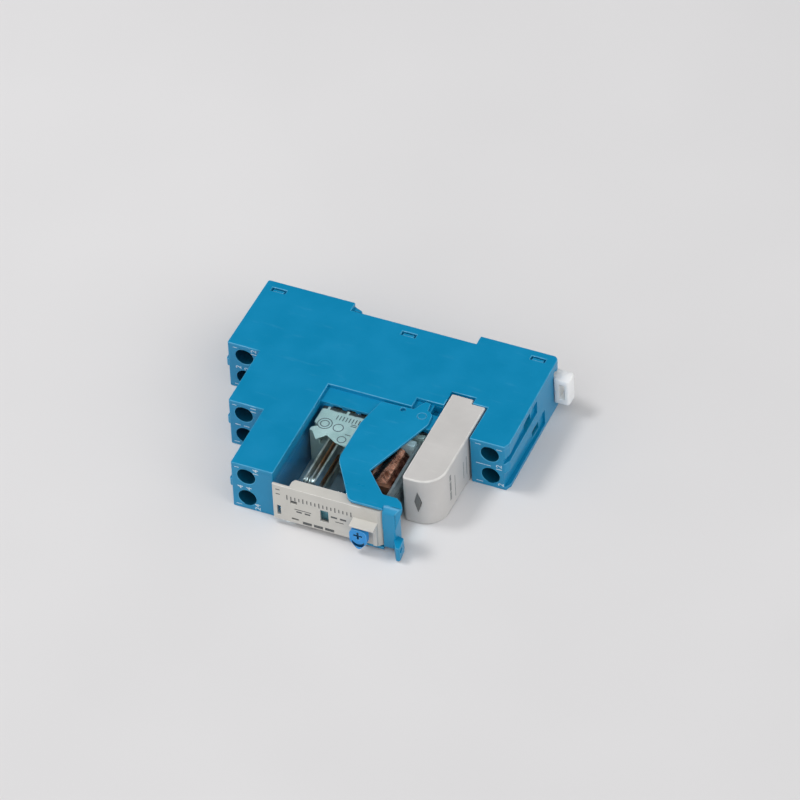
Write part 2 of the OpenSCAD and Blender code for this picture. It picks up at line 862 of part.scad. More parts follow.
// A cut in the cap's front, from the relay's left end and from the middle of its width
module cap_cut(x0, x1, z0, z1, depth)
    block([relay_x0 + x0, relay_y1 - 1, mid_z + z0], [relay_x0 + x1, relay_y1 + depth, mid_z + z1]);

// White cap: a front plate with a skirt, windows, and the hood and wall that guard the test button
module relay_cap() {
    half = relay_w / 2;
    hood_z = button_z + button_sweep + slide_clear;
    hood_reach = 3.1;
    hood_x = button_x - 2.4;
    wall_h = 0.9;
    guard_end = relay_x1 - 1;
    color(WHITE)
        difference() {
            union() {
                translate([0, 0, mid_z - half])
                    linear_extrude(relay_w)
                        outline([
                            [relay_x0, relay_y1, 0.4],
                            [relay_x0, neck_y + cap_left_skirt, 0],
                            [relay_x0 + cap_left_w - 0.5, neck_y + cap_left_skirt, 0],
                            [relay_x0 + cap_left_w + 0.6, skirt_y, 0],
                            [relay_x1, skirt_y, 0],
                            [relay_x1, relay_y1 + 1, 0.2],
                            [relay_x1 - 1, relay_y1, 0.2]
                        ]);
                translate([hood_x, relay_y1, hood_z])
                    rotate([90, 0, 90])
                        linear_extrude(guard_end - hood_x)
                            polygon([[eps, 0], [eps, 0.75], [-hood_reach, 0.45], [-hood_reach, 0]]);
                block(
                    [guard_end - 1.2, relay_y1 - wall_h, mid_z - half + 0.6],
                    [guard_end, relay_y1 + eps, hood_z + eps]
                );
            }
            // Room for the clear case behind the plate
            block(
                [relay_x0 - 1, neck_y, mid_z - half + case_wall],
                [relay_x1 - case_wall, skirt_y + 1, mid_z + half - case_wall]
            );
            block(
                [relay_x0 - 1, neck_y, mid_z - half - 1],
                [relay_x0 + cap_left_w, skirt_y + 1, mid_z + half + 1]
            );
            // Ventilation slot, flag window, two shallow recesses, and the button's hole
            cap_cut(1.15, 2.25, -4.6, -1.2, cap_t + 1);
            cap_cut(13.65, 16.05, -2.9, 1.2, cap_t + 1);
            cap_cut(5.05, 7.05, 0.7, 1.8, 0.4);
            cap_cut(5.25, 7.25, -5.2, -4.5, 0.4);
            along_y([button_x, relay_y1 - 2, button_z]) cylinder(d = stem_d + 2 * slide_clear, h = 4);
        }
}

// Coil: bobbin, winding, core and yoke
module coil_bobbin() {
    tube_d = core_d + 1.2;
    color(PALE)
        difference() {
            union() {
                block(
                    [coil_x - flange_x / 2, bobbin_y0 - rear_flange_t, mid_z - flange_z / 2],
                    [coil_x + flange_x / 2, bobbin_y0, mid_z + flange_z / 2]
                );
                block(
                    [coil_x - flange_x / 2, front_flange_y, mid_z - flange_z / 2],
                    [coil_x + flange_x / 2, front_flange_y + front_flange_t, mid_z + flange_z / 2]
                );
                along_y([coil_x, front_flange_y + eps, mid_z])
                    cylinder(d = tube_d, h = bobbin_y0 - front_flange_y - 2 * eps);
            }
            along_y([coil_x, front_flange_y - 1, mid_z])
                cylinder(d = core_d + 2 * plug_clear, h = bobbin_y0 - front_flange_y + 2);
            pin_slots(bobbin_y0 - 1.5, bobbin_y0 + 1);
        }
}

module coil_winding() {
    rear = bobbin_y0 - rear_flange_t - winding_clear;
    front = front_flange_y + front_flange_t + winding_clear;
    color(COPPER)
        along_y([coil_x, front, mid_z])
            difference() {
                cylinder(d = winding_d, h = rear - front);
                translate([0, 0, -1]) cylinder(d = core_d + 1.2 + 2 * winding_clear, h = rear - front + 2);
            }
}

module coil_core()
    color(STEEL) {
        along_y([coil_x, pole_y, mid_z]) cylinder(d = core_d, h = yoke_y - pole_y - yoke_t / 2);
        along_y([coil_x, pole_y - pole_t, mid_z]) cylinder(d = pole_d, h = pole_t);
    }

module yoke() {
    side_z = 4.2;
    leg_z = 2.1;
    end_y = armature_y + plug_clear;
    color(STEEL)
        difference() {
            union() {
                block([yoke_x, end_y, mid_z - side_z], [yoke_x + yoke_t, yoke_y, mid_z + side_z]);
                block([coil_x - 2.8, yoke_y - yoke_t, mid_z - leg_z], [yoke_x + eps, yoke_y, mid_z + leg_z]);
            }
            along_y([coil_x, yoke_y - yoke_t - 1, mid_z]) cylinder(d = core_d + 2 * plug_clear, h = yoke_t + 2);
        }
}

module armature() {
    leg_z = 2;
    color(STEEL) {
        block(
            [coil_x - pole_d / 2 - 0.5, armature_y - armature_t, mid_z - armature_z / 2],
            [yoke_x + yoke_t, armature_y, mid_z + armature_z / 2]
        );
        block([yoke_x, leg_y, mid_z - leg_z], [yoke_x + yoke_t, armature_y - armature_t + eps, mid_z + leg_z]);
    }
}

module armature_spring() {
    leaf_t = 0.2;
    x = yoke_x + yoke_t + plug_clear;
    color(BRASS)
        block([x, armature_y - 1.8, mid_z - 2.4], [x + leaf_t, yoke_y - 8, mid_z + 2.4]);
}

// Card that the armature pushes, with a notch for each moving contact
module contact_card() {
    x0 = no_pin_x + 0.3;
    x1 = yoke_x - 0.1;
    notch = blade_t + 2 * slide_clear;
    color(PALE)
        difference() {
            block([x0, card_y - card_t, mid_z - card_w / 2], [x1, card_y, mid_z + card_w / 2]);
            both_sides()
                block(
                    [com_pin_x - notch / 2, card_y - card_t + 0.25, mid_z + pin_z - blade_w / 2 - slide_clear],
                    [com_pin_x + notch / 2, card_y + 1, mid_z + card_w / 2 + 1]
                );
        }
}

module flag_indicator()
    color(TEAL)
        block(
            [relay_x0 + 12.6, neck_y + plug_clear + case_wall + 0.25, mid_z - 3.6],
            [relay_x0 + 17.1, card_y - card_t, mid_z + 1.9]
        );

function rivet_z() = mid_z + pin_z;

module rivet(x0, x1)
    translate([x0, rivet_y, rivet_z()]) rotate([0, 90, 0]) cylinder(d = rivet_d, h = x1 - x0);

module moving_contact() {
    tip = card_y - card_t + 0.4;
    color(COPPER) {
        block(
            [com_pin_x - blade_t / 2, tip, rivet_z() - blade_w / 2],
            [com_pin_x + blade_t / 2, blade_root_y, rivet_z() + blade_w / 2]
        );
        rivet(com_pin_x - blade_t / 2 - rivet_h, com_pin_x + blade_t / 2 + rivet_h);
    }
}

module plug_blade(x, y_end)
    block(
        [x - pin_t / 2, y_end, rivet_z() - pin_w / 2],
        [x + pin_t / 2, relay_y0 + pin_len, rivet_z() + pin_w / 2]
    );

// The common pin ends in a tab beside the root of the moving contact
module com_pin() {
    tab = com_pin_x + blade_t / 2 + plug_clear;
    color(BRASS) {
        plug_blade(com_pin_x, relay_y0 - base_t - 1.6);
        block(
            [com_pin_x - pin_t / 2, relay_y0 - base_t - 2, rivet_z() - pin_w / 2],
            [tab + fixed_t, relay_y0 - base_t - 1.5, rivet_z() + pin_w / 2]
        );
        block(
            [tab, blade_root_y - 2.2, rivet_z() - 1.4],
            [tab + fixed_t, relay_y0 - base_t - 1.5, rivet_z() + 1.4]
        );
    }
}

// A fixed contact: its pin, its step towards the blade, its leaf and its rivet
module fixed_contact(pin_x, leaf_x, rivet_x0, rivet_x1) {
    step_y = relay_y0 - base_t - 2;
    color(BRASS) {
        plug_blade(pin_x, step_y);
        block(
            [min(pin_x, leaf_x) - fixed_t / 2, step_y, rivet_z() - pin_w / 2],
            [max(pin_x, leaf_x) + fixed_t / 2, step_y + fixed_t, rivet_z() + pin_w / 2]
        );
        block(
            [leaf_x - fixed_t / 2, card_y + 0.8, rivet_z() - blade_w / 2],
            [leaf_x + fixed_t / 2, step_y + fixed_t, rivet_z() + blade_w / 2]
        );
        rivet(rivet_x0, rivet_x1);
    }
}

module no_contact() {
    face = com_pin_x - blade_t / 2 - rivet_h - contact_gap;
    fixed_contact(no_pin_x, face - rivet_h - fixed_t / 2, face - rivet_h - eps, face);
}

module nc_contact() {
    face = com_pin_x + blade_t / 2 + rivet_h + plug_clear;
    fixed_contact(nc_pin_x, face + rivet_h + fixed_t / 2, face, face + rivet_h + eps);
}

module coil_pin()
    color(BRASS) plug_blade(coil_pin_x, bobbin_y0 - 1.4);

// Test button: a plunger through the cap, and the knob that turns on its spigot
module test_plunger() {
    inner = neck_y + case_wall + plug_clear + 0.1;
    flange_t = 0.6;
    color(GREY)
        translate([button_x, 0, button_z]) {
            along_y([0, button_y0, 0]) cylinder(d = stem_d, h = inner + flange_t - button_y0);
            along_y([0, inner, 0]) cylinder(d = stem_d + 1.4, h = flange_t);
            along_y([0, button_y0 - button_t / 2, 0]) cylinder(d = spigot_d, h = button_t / 2 + eps);
        }
}

module test_button() {
    recess = 0.6;
    color(LIGHT_BLUE)
        translate([button_x, button_y0, button_z])
            rotate([90, 0, 0])
                difference() {
                    linear_extrude(button_t)
                        outline([
                            [-button_r, button_top, button_corner],
                            [button_r, button_top, button_corner],
                            [button_r, -button_r * 0.9, button_corner],
                            [0, -pointer_len, 0.8],
                            [-button_r, -button_r * 0.9, button_corner]
                        ]);
                    translate([0, 0, -1])
                        cylinder(d = spigot_d + 2 * plug_clear, h = button_t / 2 + 1 + plug_clear);
                    for (a = [0, 90])
                        rotate(a) block([-1.25, -0.3, button_t - recess], [1.25, 0.3, button_t + 1]);
                    translate([0, 0, button_t - recess])
                        linear_extrude(1)
                            intersection() {
                                difference() {
                                    translate([0, -2.2]) circle(d = 3.6);
                                    translate([0, -1]) circle(d = 3.8);
                                }
                                translate([-2, -4.1]) square([4, 3]);
                            }
                }
}

// Module: a case with a large round corner, a base with two pins, and the board inside
function module_corners(inset) = [
    [module_x0 + inset, module_y0, 0],
    [module_x0 + inset, module_y1 + inset, 1.2 - inset * 0.6],
    [module_x1 - inset, module_y1 + inset, module_round - inset],
    [module_x1 - inset, module_y0, 0]
];

module diamond(width, length, depth)
    linear_extrude(depth)
        polygon([[-width / 2, 0], [0, length / 2], [width / 2, 0], [0, -length / 2]]);

module module_case() {
    low = (socket_t - module_t) / 2;
    color(WHITE)
        difference() {
            union() {
                translate([0, 0, low]) linear_extrude(module_t) outline(module_corners(0));
                both_sides()
                    block(
                        [module_x0, module_y0 - eps, body_top + plug_clear],
                        [module_x0 + tongue_w, module_y0 + tongue_len, low + module_t]
                    );
            }
            translate([0, 0, low + module_wall])
                linear_extrude(module_t - 2 * module_wall)
                    polygon(concat(rounded(module_corners(module_wall)), [
                        [module_x1 - module_wall, module_y0 + 1],
                        [module_x0 + module_wall, module_y0 + 1]
                    ]));
            translate([lens_x, module_y1 + 2, mid_z]) rotate([90, 0, 0]) diamond(lens_w, lens_len, 4);
        }
}

// A layer of the module's rounded shell, between two depths below its outside
module shell_layer(outer, inner)
    linear_extrude(socket_t)
        difference() {
            outline(module_corners(outer));
            outline(module_corners(inner));
        }

module lens_prism(width, length)
    translate([lens_x, module_y1 + 4, mid_z]) rotate([90, 0, 0]) diamond(width, length, 6);

// Lens: a diamond flush with the front, on a flange behind the wall
module module_lens() {
    behind = module_wall + plug_clear;
    flange_t = 0.5;
    color(GREY) {
        intersection() {
            shell_layer(0, behind + flange_t);
            lens_prism(lens_w - 2 * plug_clear, lens_len - 4 * plug_clear);
        }
        intersection() {
            shell_layer(behind, behind + flange_t);
            lens_prism(lens_w + 1, lens_len + 1.6);
        }
    }
}

module module_base() {
    fit = module_wall + plug_clear;
    low = (socket_t - module_t) / 2 + fit;
    thick = 2;
    color(WHITE)
        difference() {
            block([module_x0 + fit, module_y0 - thick, low], [module_x1 - fit, module_y0, socket_t - low]);
            both_sides()
                block(
                    [module_pin_x - pin_t / 2 - plug_clear, module_y0 - 3, rivet_z() - pin_w / 2 - plug_clear],
                    [module_pin_x + pin_t / 2 + plug_clear, module_y0 + 1, rivet_z() + pin_w / 2 + plug_clear]
                );
        }
}

module module_pins()
    color(BRASS)
        both_sides()
            block(
                [module_pin_x - pin_t / 2, module_y0 - 4.5, rivet_z() - pin_w / 2],
                [module_pin_x + pin_t / 2, module_y0 + pin_len, rivet_z() + pin_w / 2]
            );

board_x0 = module_x0 + module_wall + 0.3;
board_x1 = module_pin_x - pin_t / 2 - plug_clear;
board_y0 = module_y0 - 2.1;
board_y1 = module_y1 + 9;
board_t = 1;

// Board: it stands on the base beside the pins, in the plane between the two poles
module module_board()
    color(GREEN)
        block([board_x0, board_y1, mid_z - board_t / 2], [board_x1, board_y0, mid_z + board_t / 2]);

module module_led() {
    led_d = 3;
    color(GREY)
        translate([lens_x, 0, mid_z + board_t / 2 + led_d / 2 + plug_clear]) {
            along_y([0, module_y1 + 3.4 + led_d / 2, 0]) cylinder(d = led_d, h = 5);
            translate([0, module_y1 + 3.4 + led_d / 2, 0]) sphere(d = led_d);
            along_y([0, module_y1 + 8.2, 0]) cylinder(d = led_d - 1, h = 6);
        }
}

module module_resistor()
    color(BRASS)
        for (side = [-1, 1])
            along_y([lens_x, board_y0 - 9.5, mid_z + side * (board_t / 2 + 1.25 + plug_clear)])
                cylinder(d = 2.5, h = 6.5);

for (t = [0:3])
    for (s = [0, 1]) {
        on_side(s) terminal_screw(t, s);
        on_side(s) terminal_clamp(t, s);
        on_side(s) contact_strip(t, s);
    }
for (s = [0, 1]) {
    on_side(s) moving_contact();
    on_side(s) com_pin();
    on_side(s) no_contact();
    on_side(s) nc_contact();
    on_side(s) coil_pin();
}
socket_body();
upper_cover();
lower_cover();
rail_latch();
retaining_clip();
relay_base();
relay_case();
relay_cap();
coil_bobbin();
coil_winding();
coil_core();
yoke();
armature();
armature_spring();
contact_card();
flag_indicator();
test_plunger();
test_button();
module_case();
module_base();
module_lens();
module_board();
module_led();
module_resistor();
module_pins();
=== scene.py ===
# %% [markdown]
# This lesson dresses an interface relay: a blue screw-terminal socket for a 35 mm rail, with a
# plug-in relay under a clear case, a clip that holds it, and an indicator module beside it. The
# shapes and the motion come packed from the CAD model. Here each piece gets its looks.

import json
import math

import bmesh
import bpy
from mathutils import Matrix, Vector


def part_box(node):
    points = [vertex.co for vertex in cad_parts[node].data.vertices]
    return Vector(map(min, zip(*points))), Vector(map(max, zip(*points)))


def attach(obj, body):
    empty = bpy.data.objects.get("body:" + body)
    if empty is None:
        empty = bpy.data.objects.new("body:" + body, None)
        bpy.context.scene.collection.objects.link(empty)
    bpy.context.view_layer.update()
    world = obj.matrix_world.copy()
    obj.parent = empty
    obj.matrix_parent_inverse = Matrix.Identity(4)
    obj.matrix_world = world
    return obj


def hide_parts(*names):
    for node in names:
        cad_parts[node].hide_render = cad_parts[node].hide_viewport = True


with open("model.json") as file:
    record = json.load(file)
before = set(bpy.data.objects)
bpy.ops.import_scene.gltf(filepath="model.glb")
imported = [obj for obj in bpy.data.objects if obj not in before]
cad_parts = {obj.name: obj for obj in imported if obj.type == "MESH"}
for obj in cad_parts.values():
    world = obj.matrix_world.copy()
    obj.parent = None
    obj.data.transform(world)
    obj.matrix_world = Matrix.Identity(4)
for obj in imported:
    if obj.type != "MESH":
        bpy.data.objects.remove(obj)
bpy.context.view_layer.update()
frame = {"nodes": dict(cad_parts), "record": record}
nodes = frame["nodes"]
carrier_body = {
    node: body
    for body, members in frame["record"]["behaviour"]["bodies"].items()
    for node in members
}
MM = 0.001

# %% [markdown]
# The photograph was taken from far away with a long lens, from the front, right and above, so
# the lines of the socket hardly converge. A camera can be placed by eye, but this one was solved
# from corners of the socket, so the render and the photograph can be laid over each other.

# %% Camera
IMAGE_PIXELS = 800
FOCAL_PIXELS = 9351.84
SENSOR_WIDTH = 36
NEAR_CLIP = 0.1
FAR_CLIP = 20
AIM_POINT = Vector((4.271, -19.754, 7.9)) * MM
VIEW_DISTANCE = 2489.87 * MM
VIEW_AZIMUTH = math.radians(25.5825)
VIEW_ELEVATION = math.radians(43.6755)
VIEW_ROLL = math.radians(-3.2069)


def photo_camera():
    """A camera that stands where the photographer stood."""
    data = bpy.data.cameras.new("photo_camera")
    data.sensor_width = SENSOR_WIDTH
    data.lens = FOCAL_PIXELS / IMAGE_PIXELS * SENSOR_WIDTH
    data.clip_start = NEAR_CLIP
    data.clip_end = FAR_CLIP
    back = Vector((
        math.sin(VIEW_AZIMUTH) * math.cos(VIEW_ELEVATION),
        -math.cos(VIEW_AZIMUTH) * math.cos(VIEW_ELEVATION),
        math.sin(VIEW_ELEVATION),
    ))
    level_right = Vector((math.cos(VIEW_AZIMUTH), math.sin(VIEW_AZIMUTH), 0))
    level_up = back.cross(level_right)
    right = level_right * math.cos(VIEW_ROLL) + level_up * math.sin(VIEW_ROLL)
    up = level_up * math.cos(VIEW_ROLL) - level_right * math.sin(VIEW_ROLL)
    camera = bpy.data.objects.new("photo_camera", data)
    camera.matrix_world = Matrix.Translation(AIM_POINT + back * VIEW_DISTANCE) @ Matrix(
        (right, up, back)
    ).transposed().to_4x4()
    bpy.context.scene.collection.objects.link(camera)
    bpy.context.scene.camera = camera
    return camera


print("lens", round(photo_camera().data.lens, 1), "mm")

# %% [markdown]
# A finish is easier to read when its small steps have names. These helpers write colours the way
# a picture editor shows them, start a material, and add the few node patterns that moulded
# plastic and plated metal need. Nodes could be placed by hand in the editor, but in code every
# value stays in sight. Noise hardly ever comes near 0 or 1, so most patterns stretch only the
# middle of its range.

# %% Material helpers
NOISE_CORE = (0.35, 0.65)
NOISE_SPREAD = (0.3, 0.7)


def tone(red, green, blue):
    """A colour given as 0 to 255 on screen, as the linear values that a shader takes."""
    linear = []
    for level in (red / 255, green / 255, blue / 255):
        linear.append(level / 12.92 if level < 0.04045 else ((level + 0.055) / 1.055) ** 2.4)
    return (*linear, 1.0)


def new_finish(name):
    """A new material: its tree, its shader and the object coordinates to build patterns on."""
    material = bpy.data.materials.new(name)
    material.use_nodes = True
    tree = material.node_tree
    place = tree.nodes.new("ShaderNodeTexCoord").outputs["Object"]
    return material, tree, tree.nodes["Principled BSDF"], place


def node_with(tree, kind, values, operation=None):
    """A new node, each of the given inputs linked to another node's output or set to a value."""
    node = tree.nodes.new(kind)
    if operation:
        node.operation = operation
    for socket, value in values.items():
        if isinstance(value, bpy.types.NodeSocket):
            tree.links.new(value, node.inputs[socket])
        else:
            node.inputs[socket].default_value = value
    return node


def grain(tree, place, size, stretch=(1, 1, 1), detail=2.0):
    """Noise with blotches about this many metres across, longer where stretch is below 1."""
    scale = [factor / size for factor in stretch]
    mapping = node_with(tree, "ShaderNodeMapping", {"Vector": place, "Scale": scale})
    noise = node_with(tree, "ShaderNodeTexNoise", {
        "Vector": mapping.outputs["Vector"], "Scale": 1.0, "Detail": detail,
    })
    return noise.outputs["Fac"]


def levels(tree, value, low, high, out_low=0.0, out_high=1.0):
    """Stretches the part of a pattern between low and high over the new range."""
    node = node_with(tree, "ShaderNodeMapRange", {
        "Value": value, "From Min": low, "From Max": high, "To Min": out_low, "To Max": out_high,
    })
    return node.outputs["Result"]


def times(tree, first, second):
    """Two patterns multiplied, so that the result shows only where both do."""
    return node_with(tree, "ShaderNodeMath", {0: first, 1: second}, "MULTIPLY").outputs["Value"]


def colour_mix(tree, factor, first, second):
    """One colour turning into another as the factor goes from 0 to 1."""
    node = tree.nodes.new("ShaderNodeMix")
    node.data_type = "RGBA"
    tree.links.new(factor, node.inputs["Factor"])
    for socket, colour in ((node.inputs[6], first), (node.inputs[7], second)):
        if isinstance(colour, tuple):
            socket.default_value = colour
        else:
            tree.links.new(colour, socket)
    return node.outputs[2]


def relief(tree, shader, height, depth):
    """Bumps of this depth in metres, where the height pattern goes from 0 to 1."""
    node = node_with(tree, "ShaderNodeBump", {"Height": height, "Distance": depth})
    tree.links.new(node.outputs["Normal"], shader.inputs["Normal"])


def marked(tree, name):
    """How strongly a mesh attribute of this name marks the surface, 0 where there is none."""
    node = tree.nodes.new("ShaderNodeAttribute")
    node.attribute_name = name
    return node.outputs["Fac"]


def axis_value(tree, place, axis):
    """How far a point lies along x, y or z of the object, in metres."""
    return node_with(tree, "ShaderNodeSeparateXYZ", {"Vector": place}).outputs[axis]


print("material helpers ready")

# %% [markdown]
# Moulded plastic shows the surface of its steel mould: a fine even grain, a gloss that drifts a
# little over the face, and lighter edges, partly polished by handling and partly a painted
# highlight that stands for the light line on a rounded edge. The edge pattern comes from a mesh
# attribute that the rounding step below leaves on each bevel, so wear and painted highlight sit on
# real edges, and a second attribute paints shade into the screw holes and the button's cross.
# Ambient occlusion or pointiness would also find both, but they don't survive an export.

# %% Moulded plastics
SPARK_GRAIN = 0.35 * MM
SPARK_DEPTH = 0.004 * MM
CLOUD_SIZE = 9 * MM
CLOUD_SHADE = 0.93
GLOSS_DRIFT = 0.05
WEAR_AND_SHEEN_SIZE = 3 * MM
LEAST_WEAR_AND_SHEEN = 0.25
SCUFF_STRETCH = (0.4, 2, 1)
SCUFF_RANGE = (0.6, 0.72)
SCUFF_STRENGTH = 0.12
HOLE_SHADE = 0.3


def dimmed(colour, share):
    """A colour with only this share of its light left."""
    return tuple(channel * share for channel in colour[:3]) + (1.0,)


def moulded(name, colour, wear_and_sheen, roughness=0.34):
    """Moulded plastic with a spark-eroded grain, cloudy gloss, faint scuffs, lighter edges that are
    partly wear and partly a painted highlight, and painted shade on the faces marked for it.
    """
    material, tree, shader, place = new_finish(name)
    clouds = grain(tree, place, CLOUD_SIZE, detail=3)
    patchy = levels(tree, grain(tree, place, WEAR_AND_SHEEN_SIZE), *NOISE_SPREAD, LEAST_WEAR_AND_SHEEN, 1)
    streaks = grain(tree, place, WEAR_AND_SHEEN_SIZE, stretch=SCUFF_STRETCH, detail=5)
    scuffs = levels(tree, streaks, *SCUFF_RANGE, 0, SCUFF_STRENGTH)
    body = colour_mix(tree, levels(tree, clouds, *NOISE_CORE), dimmed(colour, CLOUD_SHADE), colour)
    handled = colour_mix(tree, scuffs, body, wear_and_sheen)
    # Bevel faces are lightened: partly wear, partly a painted highlight along the rounding.
    edge_wear_and_sheen = colour_mix(tree, times(tree, marked(tree, "edge"), patchy), handled, wear_and_sheen)
    # Marked faces, in the screw holes and the button's cross, get painted shade.
    shown = colour_mix(tree, marked(tree, "painted_shade"), edge_wear_and_sheen, dimmed(colour, HOLE_SHADE))
    tree.links.new(shown, shader.inputs["Base Color"])
    gloss = levels(tree, clouds, *NOISE_SPREAD, roughness - GLOSS_DRIFT, roughness + GLOSS_DRIFT)
    tree.links.new(gloss, shader.inputs["Roughness"])
    relief(tree, shader, grain(tree, place, SPARK_GRAIN, detail=1), SPARK_DEPTH)
    return material


# The second tone of each is the lighter colour of scuffs and of edges, where it is partly wear and
# partly a painted highlight.
socket_blue = moulded("socket_blue", tone(0, 134, 181), tone(70, 160, 200))
clip_blue = moulded("clip_blue", tone(4, 137, 184), tone(84, 172, 212), roughness=0.32)
button_blue = moulded("button_blue", tone(24, 140, 214), tone(120, 190, 232), roughness=0.32)
cap_white = moulded("cap_white", tone(201, 199, 193), tone(222, 221, 216), roughness=0.45)
module_white = moulded("module_white", tone(201, 199, 197), tone(220, 219, 216), roughness=0.48)
# The contact card is dark teal as painted shade and a painted blue reflection from the clip over
# it.
card_painted_shade = moulded("card_painted_shade", tone(18, 74, 98), tone(52, 112, 134), roughness=0.4)
base_grey = moulded("base_grey", tone(92, 96, 100), tone(120, 124, 128), roughness=0.5)
flag_teal = moulded("flag_teal", tone(88, 158, 168), tone(110, 172, 180), roughness=0.45)
lens_grey = moulded("lens_grey", tone(116, 117, 115), tone(150, 151, 149), roughness=0.22)
print("moulded finishes made, from", socket_blue.name, "to", lens_grey.name)

# %% [markdown]
# Two mouldings inside the relay change colour along their length. The base is dark along its
# rear: potting resin at its foot, and the band is widened with painted shade where the socket's
# ledge shades it, and two pale pips of the contact carrier stand out of it. The bobbin is pale at
# its rear flange, and its front flange lies under the brown tape that holds the end of the wire.
# Each is one imported node, so the colour changes along the object's own y.

# %% Two-coloured mouldings
# The dark rear band is potting resin, widened by painted shade under the socket's ledge.
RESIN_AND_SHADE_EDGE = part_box("relay_base")[1].y - 1.2 * MM
RESIN_PIPS = (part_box("relay_base")[0].x + 1.7 * MM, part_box("relay_base")[0].x + 7.2 * MM)
PIP_HALF_WIDTH = 0.35 * MM
TAPE_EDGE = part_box("coil_bobbin")[0].y + 2 * MM
EDGE_CREEP = 0.2 * MM
EDGE_SOFTNESS = 0.1 * MM
CARRIER_TONES = (tone(160, 176, 168), tone(180, 192, 184))
RESIN_AND_SHADE_TONES = (tone(26, 30, 28), tone(46, 46, 40))
TAPE_TONES = (tone(120, 70, 44), tone(92, 52, 34))
FLANGE_TONES = (tone(222, 236, 234), tone(232, 242, 240))


def near(tree, value, centre, reach):
    """1 where a value lies within this reach of a centre, and 0 elsewhere."""
    node = node_with(tree, "ShaderNodeMath", {0: value, 1: centre, 2: reach}, "COMPARE")
    return node.outputs["Value"]


def two_coloured(name, edge, front_tones, rear_tones, pips=()):
    """A moulding with one pair of tones before an uneven edge in y and another behind it."""
    material, tree, shader, place = new_finish(name)
    y = axis_value(tree, place, "Y")
    creep = levels(tree, grain(tree, place, 2 * MM), *NOISE_SPREAD, -EDGE_CREEP, EDGE_CREEP)
    shifted = node_with(tree, "ShaderNodeMath", {0: y, 1: creep}, "ADD").outputs["Value"]
    behind = levels(tree, shifted, edge - EDGE_SOFTNESS, edge + EDGE_SOFTNESS)
    for pip in pips:
        on_pip = near(tree, axis_value(tree, place, "X"), pip, PIP_HALF_WIDTH)
        behind = times(tree, behind, levels(tree, on_pip, 0, 1, 1, 0))
    clouds = levels(tree, grain(tree, place, 4 * MM, detail=3), *NOISE_CORE)
    front = colour_mix(tree, clouds, *front_tones)
    rear = colour_mix(tree, clouds, *rear_tones)
    tree.links.new(colour_mix(tree, behind, front, rear), shader.inputs["Base Color"])
    shader.inputs["Roughness"].default_value = 0.4
    relief(tree, shader, grain(tree, place, 0.4 * MM), 0.006 * MM)
    return material


base_finish = two_coloured("potted_and_shaded_base", RESIN_AND_SHADE_EDGE, CARRIER_TONES, RESIN_AND_SHADE_TONES, RESIN_PIPS)
bobbin_finish = two_coloured("taped_bobbin", TAPE_EDGE, TAPE_TONES, FLANGE_TONES)
print("resin ends at y", round(RESIN_AND_SHADE_EDGE / MM, 2), "mm, tape at", round(TAPE_EDGE / MM, 2), "mm")

# %% [markdown]
# The relay's case is clear polycarbonate with a faint blue-green cast, and the rail latch is
# milky nylon. Both could be plain glass, but a clear box of real wall thickness would keep the
# lamps out of the relay, since a lamp's light doesn't bend through glass. So a shadow ray meets
# a transparent shader instead, and the works inside are lit. Walls that are seen edge-on would
# also trap the light like a mirror and turn black. So the case hardly bends light, and a coat
# gives it back its gloss.

# %% Clear case and milky latch
CASE_TINT = tone(230, 245, 252)
CASE_SHADE = tone(247, 252, 254)
CLEAR_IOR = 1.03
CLEAR_COAT = 0.45
SMEAR_RANGE = (0.4, 0.75)
SMEAR_ROUGHNESS = 0.08
NYLON_DEPTH = 4 * MM


def clear_plastic(name, tint, shade, roughness):
    """Clear plastic that lets the lamps through, dimmed by its shade, to what is inside."""
    material, tree, shader, place = new_finish(name)
    shader.inputs["Base Color"].default_value = tint
    shader.inputs["Transmission Weight"].default_value = 1.0
    shader.inputs["IOR"].default_value = CLEAR_IOR
    shader.inputs["Coat Weight"].default_value = CLEAR_COAT
    wiped = grain(tree, place, 5 * MM, detail=4)
    smears = levels(tree, wiped, *SMEAR_RANGE, roughness, roughness + SMEAR_ROUGHNESS)
    tree.links.new(smears, shader.inputs["Roughness"])
    relief(tree, shader, grain(tree, place, 6 * MM), 0.01 * MM)
    light_path = tree.nodes.new("ShaderNodeLightPath")
    see_through = node_with(tree, "ShaderNodeBsdfTransparent", {"Color": shade})
    choice = node_with(tree, "ShaderNodeMixShader", {
        "Fac": light_path.outputs["Is Shadow Ray"],
        1: shader.outputs["BSDF"],
        2: see_through.outputs["BSDF"],
    })
    tree.links.new(choice.outputs["Shader"], tree.nodes["Material Output"].inputs["Surface"])
    return material


def milky_nylon():
    """Undyed nylon: light sinks in and comes out soft."""
    material, tree, shader, place = new_finish("milky_nylon")
    clouds = levels(tree, grain(tree, place, 5 * MM, detail=3), *NOISE_CORE)
    shown = colour_mix(tree, clouds, tone(242, 245, 243), tone(248, 250, 248))
    tree.links.new(shown, shader.inputs["Base Color"])
    shader.inputs["Roughness"].default_value = 0.36
    shader.inputs["Subsurface Weight"].default_value = 1.0
    shader.inputs["Subsurface Radius"].default_value = (1.0, 1.0, 0.95)
    shader.inputs["Subsurface Scale"].default_value = NYLON_DEPTH
    relief(tree, shader, grain(tree, place, 0.5 * MM), 0.006 * MM)
    return material


case_clear = clear_plastic("case_clear", CASE_TINT, CASE_SHADE, 0.02)
latch_milky = milky_nylon()
print("clear case and latch finishes made")

# %% [markdown]
# The metal inside is of a few kinds: zinc-plated steel screws and clamps, tinned brass strips,
# copper-alloy contact springs with silver at their tips, and nickel-plated magnet iron. Rolled
# strip has a fine grain along its length and plating is cloudy, so each finish is a base colour
# with stretched noise in its roughness and its relief.

